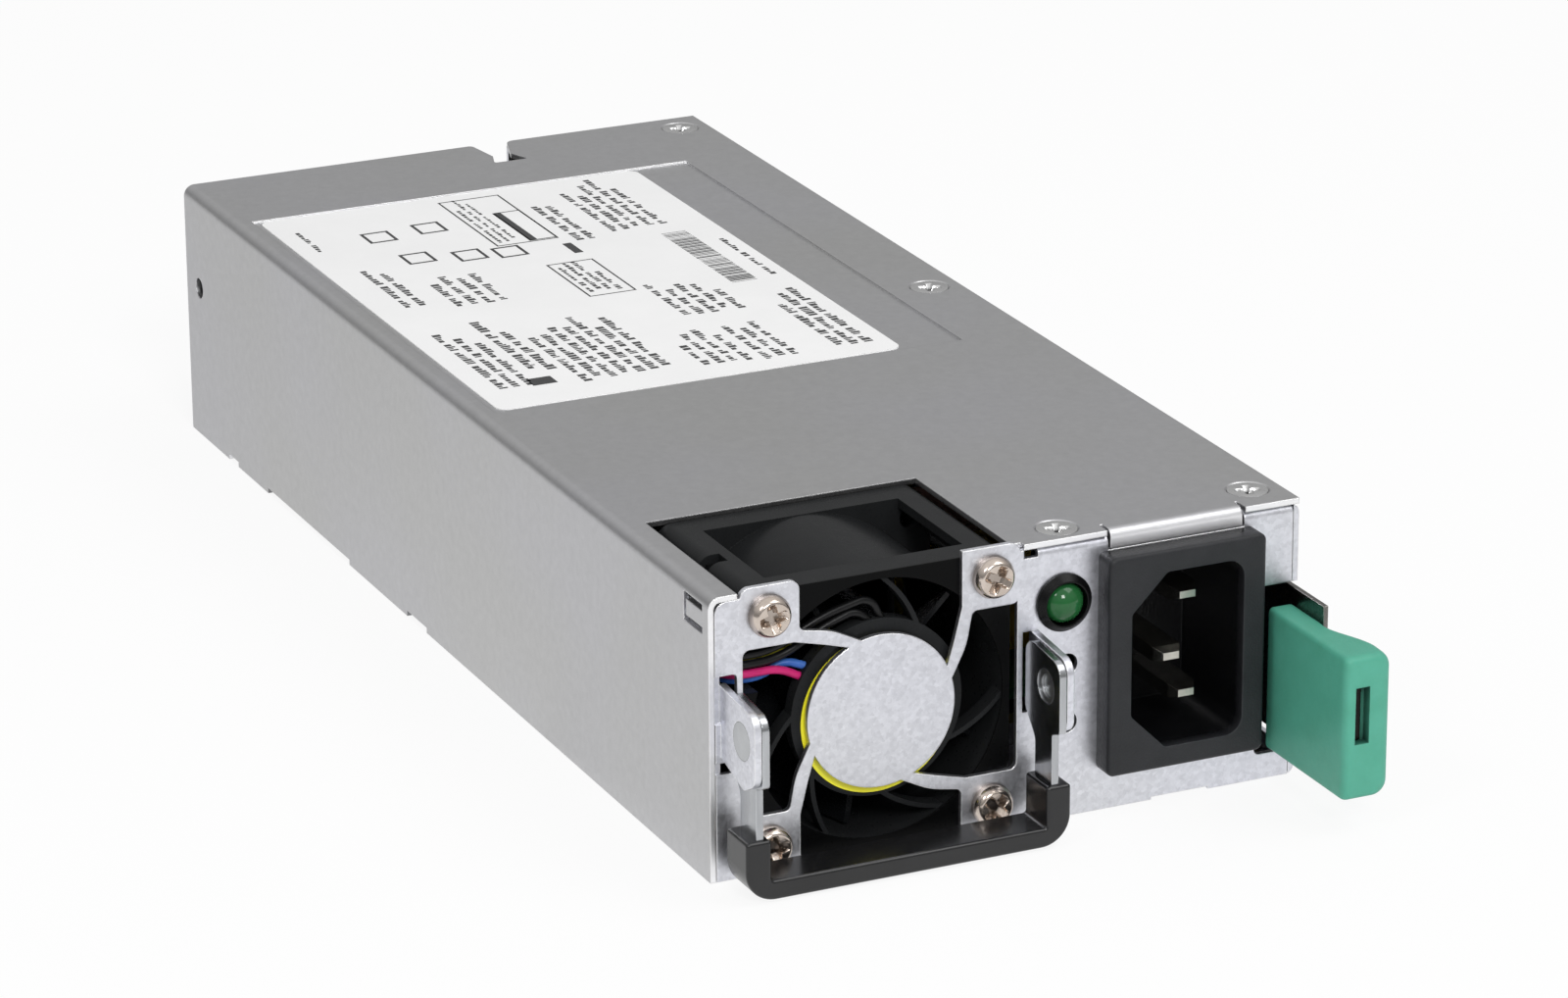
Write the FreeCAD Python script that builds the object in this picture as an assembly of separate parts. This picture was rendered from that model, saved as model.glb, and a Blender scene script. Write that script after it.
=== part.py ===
"""Hot swap server power supply: 1U case, one end fan, mains inlet, bail handle and spring latch.

Millimetres. +X is right and +Y is away for someone facing the handle end, +Z is up.
The origin is the middle of the underside of the case.
"""
import FreeCAD, Part
import math
import os

V = FreeCAD.Vector

# ---------------------------------------------------------------- driving dimensions
# Case: its width and height follow from what stands side by side at the front
LEAD_SPACE = 5.5          # left of the fan: the cover's side, the panel's edge, an ear and the fan's leads
FAN_SIZE = 38.0
LIGHT_SPACE = 12.55       # between the fan and the inlet: an ear and the status light
BEZEL_WIDTH = 23.3
LATCH_SPACE = 6.65        # right of the inlet
FAN_STEP = 0.6            # top of the case above the fan
CASE_LENGTH = 196.5
SHEET = 0.8               # steel sheet of the tray, the cover and the front panel
SEAM = 0.1                # gap between sheets that lap
BEND = 1.2                # outside radius of a folded edge
COVER_BEND = 1.7          # outside radius of the cover's long left edge
TRAY_FLANGE = 9.0         # tray's top flange that takes the cover screws
TRAY_LIP = 8.0            # short upturned edge on the tray's left side
NOTCH_HEIGHT = 0.8        # steps along the foot of the cover's side wall
NOTCHES = ((98.0, 7.5), (67.5, 34.0), (20.5, 4.0))        # start in front of the rear, length

# Cover
LABEL_RECESS = 0.3
RECESS_REAR = 22.0        # recess's rear edge in front of the case's rear
RECESS_LENGTH = 96.6
RECESS_LEFT_INSET = 3.0
RECESS_RIGHT_INSET = 11.0
LABEL_WIDTH = 62.0
LABEL_INSET = 1.0         # label inside the recess's left and front edges
LABEL_REAR_INSET = 0.4    # and inside its rear edge
LABEL_THICK = 0.15
LABEL_CORNER = 1.8
LIP_WIDTH = 19.6          # folded-down front lip over the inlet
LIP_DROP = 2.6
RELIEF = 0.5              # bend relief cut at each end of the lip
SIDE_HOLE = 3.2
SIDE_HOLE_INSET = 5.5     # from the rear edge
SIDE_HOLE_DROP = 15.0     # below the top
LANCE = (1.8, 7.7, 5.4, 1.4)         # front and rear edges, bottom and top edges below the top
LANCE_SLIT = 0.9
KEYWAY = (
    # notch in the rear edge of the cover: right of the middle, in front of the rear, corner radius
    (4.9, 0.0, 0.8), (5.8, 6.6, 0.4), (4.7, 9.9, 0.4),
    (10.4, 9.9, 0.4), (9.0, 6.2, 0.4), (10.8, 0.0, 1.5),
)
KEYWAY_DROP = 4.6         # the same notch in the rear wall, from the case's top

# Cover screws, M3 countersunk
M3_RADIUS = 1.5
COUNTERSINK_RADIUS = 3.0
COUNTERSINK_DEPTH = 1.5
COVER_SCREW_LENGTH = 5.0
SCREW_PLAY = 0.05
SIDE_SCREW_INSET = 4.6    # from the right face of the case
FRONT_SCREW_DEPTH = 5.9
MIDDLE_SCREW_DEPTH = 101.7
REAR_SCREW_INSET = 5.3
SECOND_SCREW_SIDE = 8.35  # right of the fan
SECOND_SCREW_DEPTH = 3.9

# Front panel
PANEL_FLANGE = 9.0        # top flanges, bent back under the cover
FLANGE_SIDE = 3.7         # first top flange right of the fan
FLANGE_GAP = 0.35
PANEL_RETURN = 8.0        # left edge, bent back inside the cover
GUARD_DISC = 10.6         # finger guard in front of the fan
GUARD_WINDOW_EDGE = 0.7   # window's sides outside the fan's
GUARD_TAB_EDGE = 1.1      # corner tabs' outer sides outside the fan's
GUARD_TAB = 8.45
GUARD_SPOKE = 1.75
SPOKE_DROP = 1.5
SPOKE_HEEL = 12.4         # its lower side meets the corner tab this far left of the axis
SPOKE_BEND = (10.0, 0.85, 7.0, 8.0)  # radius, sag, and the upper and lower side's place
SPOKE_ROOT = ((2.6, 0.5), (4.4, 1.1))    # places left of the axis and below the disc's edge
VENT_PAIR_SIDE = 5.3      # two small holes right of the right ear
VENT_PAIR_HEIGHTS = (13.4, 21.6)
VENT_PAIR_RADIUS = 1.5
# step in the panel's foot: its start left of the inlet's middle, its width and height
FOOT_RECESS = (3.3, 8.6, 0.4)
LATCH_GATE_SIDE = 0.55               # gate's left edge right of the inlet
LATCH_GATE = (3.6, 27.7)             # bottom and top of the latch's way out

# Fan
FAN_DEPTH = 28.0
FAN_SCREW_EDGE = 3.0      # screw centres inside the fan's sides
DUCT_EDGE = 1.0           # duct's wall at the middle of a side
FAN_FLANGE = 4.4
RAIL_WIDTH = 4.8
RAIL_THICK = 1.3
DUCT_WALL = 0.9
FAN_CORNER = 2.2
FAN_PLAY = 0.1
CUTOUT_LEFT = 1.4         # gap left of the fan in the cover, room for the leads
CUTOUT_REAR = 0.2
LEAD_NOTCH = (12.2, 15.0, 3.2, 3.0)  # front, rear, width and height of the notch in the left top rail
MOTOR_BASE_RADIUS = 12.3
MOTOR_BASE_START = 0.6    # behind the fan's front face
MOTOR_BASE_THICK = 2.0
STRUT_ANGLES = (79.0, 194.6, 237.5, 291.5, 347.0)   # from the fan's right towards its top
STRUT_TURN = (-20.0, -4.0, 10.0)     # a strut's inner end, middle and outer end from its angle
STRUT_WIDTH = 1.0
STRUT_DEPTH = 2.4
BEARING_OUTER = 3.0
BEARING_BORE = 1.5
BEARING_LENGTH = 3.0
BEARING_TUBE_WALL = 1.0
BEARING_TUBE_END = 19.4
CIRCUIT_THICK = 0.8
SHAFT_PLAY = 0.02
STATOR_START = 7.0
STATOR_LENGTH = 10.0
STATOR_ROOT = 5.2
STATOR_SHOE = 1.2
STATOR_SHOE_WIDTH = 8.8
STATOR_STEM = 2.2
STATOR_FIT = 0.02
AIR_GAP = 0.4
COIL_OVERHANG = 2.0
COIL_WALL = 1.3
COIL_HEIGHT = 1.15
MAGNET_THICK = 0.8
HUB_RADIUS = 10.4
HUB_WALL = 1.0
HUB_START = 3.4
HUB_END = 25.0
HUB_CAP = 1.6
HUB_BEVEL = 1.2
HUB_BOSS = 2.8
BLADE_COUNT = 5
BLADE_TIP_GAP = 0.5
BLADE_THICK = 0.9
BLADE_START = 4.5
BLADE_LENGTH = 19.4
BLADE_ROOT = (1.4, 5.2)   # bow and lean of the blade's section at the hub
BLADE_TIP = (2.8, 9.4)    # and at the tip
FAN_LABEL_RADIUS = 10.95
FAN_LABEL_DROP = 0.8
FAN_SCREW_HEAD = 2.9
FAN_SCREW_HEAD_HEIGHT = 1.9
FAN_SCREW_BEVEL = 1.1
FAN_SCREW_LENGTH = 8.0
LEAD_DIAMETER = 1.1
LEAD_SLOT = (5.3, 11.4, 4.8)         # bottom and top above the axis and depth of the leads' way out
LEAD_LAYERS = {
    # place left of the fan, row in the plug from its middle, depth inside the fan
    "front": (2.7, 0.65, 1.6),
    "rear": (1.4, -0.65, 2.9),
}
FAN_LEADS = {
    # a route is its corners round the motor base as (radius, angle, depth), its level above the axis,
    # its layer, its corners across the fan as (u, w, depth) and its column in the plug
    "fan_lead_yellow": (
        (((11.3, 116, 1.6), (13.2, 124, 2.9)), 8.7, "rear", ((-13.6, 8.7, 2.9),), 2),
    ),
    "fan_lead_black": (
        (((11.5, 84, 1.6), (15.2, 92, 1.6), (15.6, 120, 1.6)), 10.0, "front", ((-14.2, 10.0, 1.6),), 2),
        (((11.5, 92, 1.6), (13.9, 101, 1.6), (14.1, 122, 1.6)), 8.7, "front", ((-13.6, 8.7, 1.6),), 1),
    ),
    "fan_lead_red": (
        (((11.5, 151, 1.6),), 7.4, "front", ((-13.5, 7.4, 1.6),), 0),
    ),
    "fan_lead_blue": (
        (((11.4, 143, 1.6),), 6.2, "rear", ((-12.4, 7.9, 2.8), (-15.5, 6.2, 2.9)), 0),
    ),
}
FAN_PLUG = (11.4, 5.8, 9.0)
FAN_PLUG_SIDE = 11.5      # plug's middle right of the fan's left face
FAN_PLUG_DEPTH = 7.0      # behind the board's front edge
FAN_PLUG_PITCH = 2.54

# Status light
LED_SIDE = 5.15           # left of the inlet
LED_DROP = 8.9            # below the top
LED_RADIUS = 3.0
LED_TIP = 2.2             # stands in front of the panel
LED_BEZEL_RADIUS = 4.0
LED_BEZEL_HEIGHT = 1.2
LED_BEZEL_BEVEL = 0.8
LED_SLEEVE = 3.6
LED_SLEEVE_END = 4.0
LED_LENGTH = 5.0
LED_FLANGE = 0.5          # round its base
LED_LEAD_SPREAD = 1.27
LED_PLUG = (6.0, 5.8, 7.0)
LED_PLUG_SIDE = 1.0       # plug's middle right of the fan
LED_PLUG_DEPTH = 5.0      # behind the board's front edge

# Mains inlet, turned on its side
INLET_DROP = 18.2         # inlet's middle below the top
BEZEL_HEIGHT = 30.8
BEZEL_CORNER = 1.0
BEZEL_EDGE = 0.5
BEZEL_THICK = 3.4
INLET_WIDTH = 20.0
INLET_HEIGHT = 27.4
INLET_DEPTH = 15.7
MOUTH_WIDTH = 16.7
MOUTH_HEIGHT = 24.8
MOUTH_DEPTH = 13.5        # behind the panel's face
MOUTH_CHAMFER = 5.2
MOUTH_RADIUS = 2.5
PIN_WIDTH = 4.0
PIN_THICK = 2.0
PIN_SPREAD = 7.0
PIN_X = 2.1               # line and neutral, from the inlet's middle
EARTH_X = -1.9
PIN_START = 0.7
EARTH_START = -2.4
PIN_TIP = 1.5
PIN_TAG_END = 23.0
TAG_THICK = 0.8
POWER_LEAD = 2.6
LEAD_STRAIGHT = (8.0, 7.0, 8.0)      # line, neutral and earth run on behind their pins
EARTH_STUD_SIDE = 6.0     # right of the fan
EARTH_STUD_DEPTH = 25.0
EARTH_STUD = (2.0, 7.0)   # radius, height
EARTH_NUT = (4.0, 3.2)    # radius over the corners, height
EARTH_RING = (4.2, 0.9)
EARTH_BARREL = 8.0        # end of the crimped barrel from the stud

# Handle
HANDLE_SHEET = 1.0
EAR_EDGE = 2.8            # ear's inner face outside the fan's side
ARM_GAP = 0.1
PIVOT_FORWARD = 6.3
PIVOT_RISE = 2.1          # above the fan's axis
HEAD_FORWARD = 10.3
HEAD_REAR = 0.4
HEAD_ABOVE = 5.1          # head's top above the pivot
HEAD_BELOW = 5.4
ARM_REAR = 3.4
ARM_FRONT = 8.2
RIVET_HEAD = 2.6
RIVET_SHANK = 2.3
PIVOT_PLAY = 0.05
GRIP_EDGE_SIDE = 4.3      # grip's outer side outside the fan's
GRIP_LEG = 3.5
GRIP_FRONT = 8.8
GRIP_REAR = 2.35
GRIP_BOTTOM = 0.2
GRIP_BAR = 2.7
GRIP_LEG_TOP = 8.6
GRIP_CORNER = 4.2
GRIP_EDGE = 0.45

# Latch
LATCH_SHEET = 0.7
LATCH_WALL_GAP = 0.3
LATCH_HINGE_DEPTH = 66.0
LATCH_FOOT = 3.6
LATCH_RIVET_RADIUS = 1.5
LATCH_RIVET_PLAY = 0.2
LATCH_RIVET_HEAD = 2.6
LATCH_RIVET_HEAD_HEIGHT = 0.8
LATCH_RIVET_HEIGHTS = (11.0, 20.0)
LEAF = (8.0, 23.0)
LATCH_PLATE = (4.9, 27.0)
LATCH_JOG = (18.0, 21.5)
LATCH_PLATE_END = 8.5     # plate's front edge in front of the panel
LATCH_WINDOW = 24.5
TOOTH_DEPTH = 1.2
TOOTH = (10.0, 16.0, 10.5, 20.5)      # front, rear, bottom, top
TAB_INSET = 4.8           # tab's left face inside the case's right face
TAB_FRONT = 21.8
TAB_START = 0.5
TAB_LOW = 4.7
TAB_HIGH = 24.9
TAB_WAIST = 0.9           # waist inside the case's right face
TAB_SCOOP = (10.4, 7.0)   # waist's front end in front of the panel, and its radius
TAB_BULGE = 2.1           # front end outside it
TAB_EDGE = 0.7
TAB_ROUND = 1.9           # outer corners of its front end
TAB_SLOT = (0.7, 0.2, 1.6)           # mouth round the tongue: sides, ends, depth
TONGUE = (12.8, 20.4)
TONGUE_INSET = 2.6
TONGUE_BEND = 12.0        # where it straightens, in front of the panel

# Boards
STANDOFF = 3.2
STANDOFF_RADIUS = 2.6
STANDOFF_BORE = 1.25
STANDOFF_EDGE = 5.0       # inside the board's edges
STANDOFF_MIDDLE = 97.0
BOARD_SCREW_HEAD = (2.8, 1.8)
BOARD_THICK = 1.6
BOARD_FRONT = 31.0
BOARD_REAR_GAP = 1.6
BOARD_LEFT_GAP = 1.7      # from the cover's or the tray's inner face
BOARD_RIGHT_GAP = 2.9
TONGUE_WIDTH = 62.0       # card edge that plugs into the server
TONGUE_LENGTH = 9.0
TONGUE_CHAMFER = 0.6
TONGUE_GAP = 1.6
TONGUE_KEY = 9.3          # key slot right of the middle
CONTACT_THICK = 0.05
CONTACT_PITCH = 4.0
CONTACT_WIDTH = 3.0
CONTACT_COUNT = 15
FILM_THICK = 0.25
PORT_PLAY = 1.5
PORT_HEIGHT = 6.4
PORT_CORNER = 1.0
VENT_HEX = 2.3
VENT_PITCH = 5.6
VENT_ROWS = 4
VENT_COLUMNS = 13
VENT_BOTTOM = 14.0
VENT_TURN = 30            # first corner of a hole from level

# Parts on the board: sizes are width, length and height; depths are behind the front,
# insets are in front of the rear
X_CAPACITOR = (18.0, 8.5, 15.0)
X_CAPACITOR_DEPTHS = (44.0, 81.0)
X_CAPACITOR_SIDE = 8.0    # left side right of the heatsink's back
EMI_CHOKE = (11.5, 4.5, 13.0)        # outer radius, inner radius, height
EMI_CHOKE_DEPTH = 66.8
EMI_CHOKE_SIDE = 19.0     # middle right of the heatsink's back
PFC_CHOKE = (14.0, 6.0, 17.0)
PFC_CHOKE_INSET = 50.5
PFC_CHOKE_SIDE = 24.0
WINDING_WALL = 1.0
WINDING_GAP = 1.6
FUSE_RADIUS = 2.5
FUSE_CAP = (3.0, 5.0)     # radius, length
FUSE_LENGTH = 20.0
FUSE_DEPTH = 40.5
FUSE_SIDE = 4.2
FUSE_RISE = 5.0
FUSE_CLIP = (4.4, 3.0)
RELAY = (15.5, 19.0, 15.5)
RELAY_GAP = 1.5           # behind the second film capacitor
RELAY_SIDE = 8.0
BULK_RADIUS = 12.5
BULK_LENGTH = 48.0
BULK_DEPTH = 46.0
BULK_SIDE = 14.4          # axis right of the board's left edge
BULK_GROOVE = (3.0, 1.2, 0.8)        # from its front end, width, depth
BULK_EDGE = 1.2
SINK_SIDE = 40.4          # sink's back right of the board's left edge
SINK_DEPTH = 58.0
SINK_LENGTH = 58.0
SINK_HEIGHT = 28.0
SINK_BACK = 2.6
FIN = (3.9, 1.4)          # reach, thickness
FIN_COUNT = 6
FIN_PITCH = 4.6
BRIDGE = (4.8, 20.0, 17.0)
BRIDGE_DEPTH = 60.0
TRANSISTOR = (4.8, 15.6, 20.5)
TRANSISTOR_DEPTHS = (82.0, 99.0)
TRANSISTOR_RISE = 4.5
TRANSISTOR_LEG = (0.6, 1.2, 5.4)     # thickness, width, pitch
TRANSFORMER = (30.0, 28.0, 26.0)
TRANSFORMER_DEPTH = 98.0
TRANSFORMER_SIDE = 2.4
CORE_INSET = 6.0          # core shorter than the winding at each end
CORE_LEG = 5.0
CORE_YOKE = 4.0
CORE_POST = 6.5
WINDING_PLAY = 0.15
INDUCTOR = (22.0, 17.0, 17.0)
INDUCTOR_INSET = 49.5
BUSBAR = (2.0, 16.0)      # thickness, height
BUSBAR_SIDES = (28.4, 34.4)
BUSBAR_DEPTH = 130.0
BUSBAR_INSET = 5.0
OUTPUT_CAN = (4.0, 13.0)
OUTPUT_CAN_SIDE = 6.4     # first column right of the board's left edge
OUTPUT_CAN_PITCH = 8.6
OUTPUT_CAN_COLUMNS = 3
OUTPUT_CAN_INSETS = (26.5, 17.5)
CONTROL_BOARD = (1.2, 38.0, 27.0)
CONTROL_BOARD_INSET = 60.0
CONTROL_BOARD_SIDE = 41.4
CHIP_THICK = 1.4
CHIPS = ((4.0, 12.5, 7.0), (15.0, 9.5, 9.0), (28.0, 14.5, 5.0))   # along the board, height, size

# ---------------------------------------------------------------- derived places
CASE_WIDTH = LEAD_SPACE + FAN_SIZE + LIGHT_SPACE + BEZEL_WIDTH + LATCH_SPACE
CASE_HEIGHT = SHEET + FAN_SIZE + FAN_STEP
LEFT = -CASE_WIDTH / 2
RIGHT = CASE_WIDTH / 2
FRONT = -CASE_LENGTH / 2
BACK = CASE_LENGTH / 2
ROOF = CASE_HEIGHT - SHEET
INNER_LEFT = LEFT + SHEET + SEAM
INNER_RIGHT = RIGHT - SHEET - SEAM
FAN_HALF = FAN_SIZE / 2
FAN_LEFT = LEFT + LEAD_SPACE
FAN_RIGHT = FAN_LEFT + FAN_SIZE
FAN_X = FAN_LEFT + FAN_HALF
FAN_Z = SHEET + FAN_HALF
FAN_FACE = FRONT + SHEET
DUCT_RADIUS = FAN_HALF - DUCT_EDGE
SCREW_REACH = FAN_HALF - FAN_SCREW_EDGE
MAGNET_INNER = HUB_RADIUS - HUB_WALL - MAGNET_THICK
STATOR_RADIUS = MAGNET_INNER - AIR_GAP
GUARD_WINDOW = FAN_HALF + GUARD_WINDOW_EDGE
GUARD_TAB_OUTER = FAN_HALF + GUARD_TAB_EDGE
GUARD_TAB_INNER = GUARD_TAB_OUTER - GUARD_TAB
EAR_INNER = FAN_HALF + EAR_EDGE
ARM_OUTER = EAR_INNER - ARM_GAP
GRIP_OUTER = FAN_HALF + GRIP_EDGE_SIDE
PIVOT_Y = FRONT - PIVOT_FORWARD
PIVOT_Z = FAN_Z + PIVOT_RISE
HEAD_TOP = PIVOT_Z + HEAD_ABOVE
HEAD_BOTTOM = PIVOT_Z - HEAD_BELOW
VENT_PAIR_X = FAN_X + EAR_INNER + VENT_PAIR_SIDE
INLET_LEFT = FAN_RIGHT + LIGHT_SPACE
INLET_X = INLET_LEFT + BEZEL_WIDTH / 2
INLET_Z = CASE_HEIGHT - INLET_DROP
LIP_LEFT = INLET_X - LIP_WIDTH / 2 - SEAM
LIP_RIGHT = LIP_LEFT + LIP_WIDTH
LED_X = INLET_LEFT - LED_SIDE
LED_Z = CASE_HEIGHT - LED_DROP
LATCH_GATE_LEFT = INLET_X + BEZEL_WIDTH / 2 + LATCH_GATE_SIDE
LEAF_X = RIGHT - SHEET - LATCH_WALL_GAP - LATCH_SHEET
PLATE_X = RIGHT - SEAM - LATCH_SHEET
TAB_LEFT = RIGHT - TAB_INSET
TONGUE_X = RIGHT - TONGUE_INSET
RECESS_LEFT = LEFT + RECESS_LEFT_INSET
RECESS_RIGHT = RIGHT - RECESS_RIGHT_INSET
LABEL_LENGTH = RECESS_LENGTH - LABEL_INSET - LABEL_REAR_INSET
BOARD_BOTTOM = SHEET + STANDOFF
BOARD_TOP = BOARD_BOTTOM + BOARD_THICK
BOARD_LEFT = INNER_LEFT + BOARD_LEFT_GAP
BOARD_RIGHT = INNER_RIGHT - BOARD_RIGHT_GAP
SINK_X = BOARD_LEFT + SINK_SIDE
RELAY_DEPTH = X_CAPACITOR_DEPTHS[1] + X_CAPACITOR[1] + RELAY_GAP


def behind(depth):
    """Y of a place that lies this far behind the panel's front face."""
    return FRONT + depth


def ahead_of_rear(depth):
    """Y of a place that lies this far in front of the rear face."""
    return BACK - depth


COVER_SCREWS = (
    (RIGHT - SIDE_SCREW_INSET, behind(FRONT_SCREW_DEPTH)),
    (RIGHT - SIDE_SCREW_INSET, behind(MIDDLE_SCREW_DEPTH)),
    (RIGHT - SIDE_SCREW_INSET, ahead_of_rear(REAR_SCREW_INSET)),
    (FAN_RIGHT + SECOND_SCREW_SIDE, behind(SECOND_SCREW_DEPTH)),
)
STANDOFF_SPOTS = [
    (x, y)
    for x in (BOARD_LEFT + STANDOFF_EDGE, BOARD_RIGHT - STANDOFF_EDGE)
    for y in (behind(BOARD_FRONT + STANDOFF_EDGE), behind(STANDOFF_MIDDLE), ahead_of_rear(BUSBAR_INSET + 3.0))
]


# ---------------------------------------------------------------- helpers
def box(x0, x1, y0, y1, z0, z1):
    """Block between two corners."""
    return Part.makeBox(x1 - x0, y1 - y0, z1 - z0, V(x0, y0, z0))


def rod(radius, start, end):
    """Cylinder between two points."""
    return Part.makeCylinder(radius, (end - start).Length, start, end - start)


def tube(outer, inner, start, end):
    """Hollow cylinder between two points."""
    return rod(outer, start, end).cut(rod(inner, start, end))


def outline(corners):
    """Closed flat wire through (a, b, radius) corners; each corner is rounded to its radius."""
    turns = []
    for i, (a, b, radius) in enumerate(corners):
        corner = V(a, b, 0)
        before = corners[i - 1]
        after = corners[(i + 1) % len(corners)]
        back = (V(before[0], before[1], 0) - corner).normalize()
        on = (V(after[0], after[1], 0) - corner).normalize()
        if radius > 0:
            half = back.getAngle(on) / 2
            inward = (back + on).normalize()
            reach = radius / math.tan(half)
            middle = corner + inward * (radius / math.sin(half) - radius)
            turns.append((corner + back * reach, middle, corner + on * reach))
        else:
            turns.append((corner, None, corner))
    edges = []
    for i, (start, middle, end) in enumerate(turns):
        if middle is not None:
            edges.append(Part.Arc(start, middle, end).toShape())
        following = turns[(i + 1) % len(turns)][0]
        if (following - end).Length > 1e-6:
            edges.append(Part.LineSegment(end, following).toShape())
    return Part.Wire(edges)


TURNS = {
    # the flat (a, b) plane stood up so that it is pushed out along the named axis
    "x": FreeCAD.Placement(V(0, 0, 0), FreeCAD.Rotation(V(0, 1, 0), V(0, 0, 1), V(1, 0, 0))),
    "y": FreeCAD.Placement(V(0, 0, 0), FreeCAD.Rotation(V(1, 0, 0), V(0, 0, 1), V(0, -1, 0))),
    "z": FreeCAD.Placement(),
}


def plate(corners, axis, low, high):
    """Flat outline pushed out along an axis: x takes (y, z), y takes (x, z), z takes (x, y)."""
    face = Part.Face(outline(corners))
    face.Placement = TURNS[axis]
    direction = {"x": V(1, 0, 0), "y": V(0, 1, 0), "z": V(0, 0, 1)}[axis]
    face.translate(direction * low)
    return face.extrude(direction * (high - low))


def rounded_box(x0, x1, y0, y1, z0, z1, axis, radius):
    """Block whose four edges along one axis are rounded."""
    sides = {"x": (y0, y1, z0, z1), "y": (x0, x1, z0, z1), "z": (x0, x1, y0, y1)}[axis]
    span = {"x": (x0, x1), "y": (y0, y1), "z": (z0, z1)}[axis]
    a0, a1, b0, b1 = sides
    corners = ((a0, b0, radius), (a1, b0, radius), (a1, b1, radius), (a0, b1, radius))
    return plate(corners, axis, span[0], span[1])


def fuse(first, *others):
    """One clean solid from touching solids."""
    return first.fuse(list(others)).removeSplitter()


def cut_all(shape, tools):
    """Shape less every tool."""
    return shape.cut(list(tools)).removeSplitter()


def edges_along_y(shape, spots):
    """Straight edges along Y that pass through the given (x, z) spots."""
    found = []
    for edge in shape.Edges:
        middle = edge.CenterOfMass
        box_size = edge.BoundBox
        if box_size.XLength > 1e-4 or box_size.ZLength > 1e-4:
            continue
        for x, z in spots:
            if abs(middle.x - x) < 1e-3 and abs(middle.z - z) < 1e-3:
                found.append(edge)
    return found


def rim(shape, axis, level):
    """All edges that lie in one plane across an axis."""
    name = {"x": ("XMin", "XMax"), "y": ("YMin", "YMax"), "z": ("ZMin", "ZMax")}[axis]
    found = []
    for edge in shape.Edges:
        size = edge.BoundBox
        if abs(getattr(size, name[0]) - level) < 1e-4 and abs(getattr(size, name[1]) - level) < 1e-4:
            found.append(edge)
    return found


def lead(points, diameter):
    """Round lead along straight runs joined by tangent arcs; prints its length and radii."""
    edges = []
    radii = []
    start = points[0]
    for i in range(1, len(points) - 1):
        corner = points[i]
        back = points[i - 1] - corner
        on = points[i + 1] - corner
        half = back.getAngle(on) / 2
        reach = 0.45 * min(back.Length, on.Length)
        radius = reach * math.tan(half)
        back.normalize()
        on.normalize()
        inward = (back + on).normalize()
        middle = corner + inward * (radius / math.sin(half) - radius)
        edges.append(Part.LineSegment(start, corner + back * reach).toShape())
        edges.append(Part.Arc(corner + back * reach, middle, corner + on * reach).toShape())
        radii.append(round(radius, 1))
        start = corner + on * reach
    edges.append(Part.LineSegment(start, points[-1]).toShape())
    path = Part.Wire(edges)
    section = Part.Wire(Part.Circle(points[0], points[1] - points[0], diameter / 2).toShape())
    solid = path.makePipeShell([section], True, False)
    wanted = math.pi * diameter ** 2 / 4 * path.Length
    print("lead", round(path.Length, 1), "mm, radii", radii, "volume ratio", round(solid.Volume / wanted, 4))
    return solid


def fan_point(u, depth, w):
    """Place in the fan: u right and w up from its axis, depth behind its front face."""
    return V(FAN_X + u, FAN_FACE + depth, FAN_Z + w)


def fan_polar(radius, degrees, depth):
    """Place in the fan by radius and angle, counted from its right towards its top."""
    angle = math.radians(degrees)
    return fan_point(radius * math.cos(angle), depth, radius * math.sin(angle))


def around_fan(shape, degrees):
    """Copy of a shape turned about the fan's axis."""
    copy = shape.copy()
    copy.rotate(fan_point(0, 0, 0), V(0, -1, 0), degrees)
    return copy


# ---------------------------------------------------------------- case
def countersunk_screw(x, y, play):
    """M3 countersunk screw standing flush in the cover; play widens it to cut its own hole."""
    neck = V(x, y, CASE_HEIGHT - COUNTERSINK_DEPTH)
    head = Part.makeCone(M3_RADIUS + play, COUNTERSINK_RADIUS + play, COUNTERSINK_DEPTH, neck)
    shank = rod(M3_RADIUS + play, V(x, y, CASE_HEIGHT - COVER_SCREW_LENGTH - play), neck)
    return fuse(head, shank)


def cover_screw_tools():
    """Holes for the cover screws."""
    return [countersunk_screw(x, y, SCREW_PLAY) for x, y in COVER_SCREWS]


def latch_window():
    """Opening at the front of the right wall, through which the latch tooth stands out."""
    low, high = LATCH_GATE
    return box(INNER_RIGHT - 1, RIGHT + 1, FRONT - 1, behind(LATCH_WINDOW), low, high)


def hexagon(x, y, radius, first):
    """Corners of a hexagon whose first corner stands at the given angle."""
    angles = [math.radians(60 * side + first) for side in range(6)]
    return [(x + radius * math.cos(angle), y + radius * math.sin(angle), 0) for angle in angles]


def rear_vents():
    """Staggered hexagonal holes in the rear wall."""
    tools = []
    for row in range(VENT_ROWS):
        shift = VENT_PITCH / 2 * (row % 2)
        for column in range(VENT_COLUMNS - row % 2):
            x = (column - (VENT_COLUMNS - 1) / 2) * VENT_PITCH + shift
            z = VENT_BOTTOM + row * VENT_PITCH * math.sqrt(3) / 2
            tools.append(plate(hexagon(x, z, VENT_HEX, VENT_TURN), "y", BACK - 2 * SHEET, BACK + SHEET))
    return tools


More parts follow.
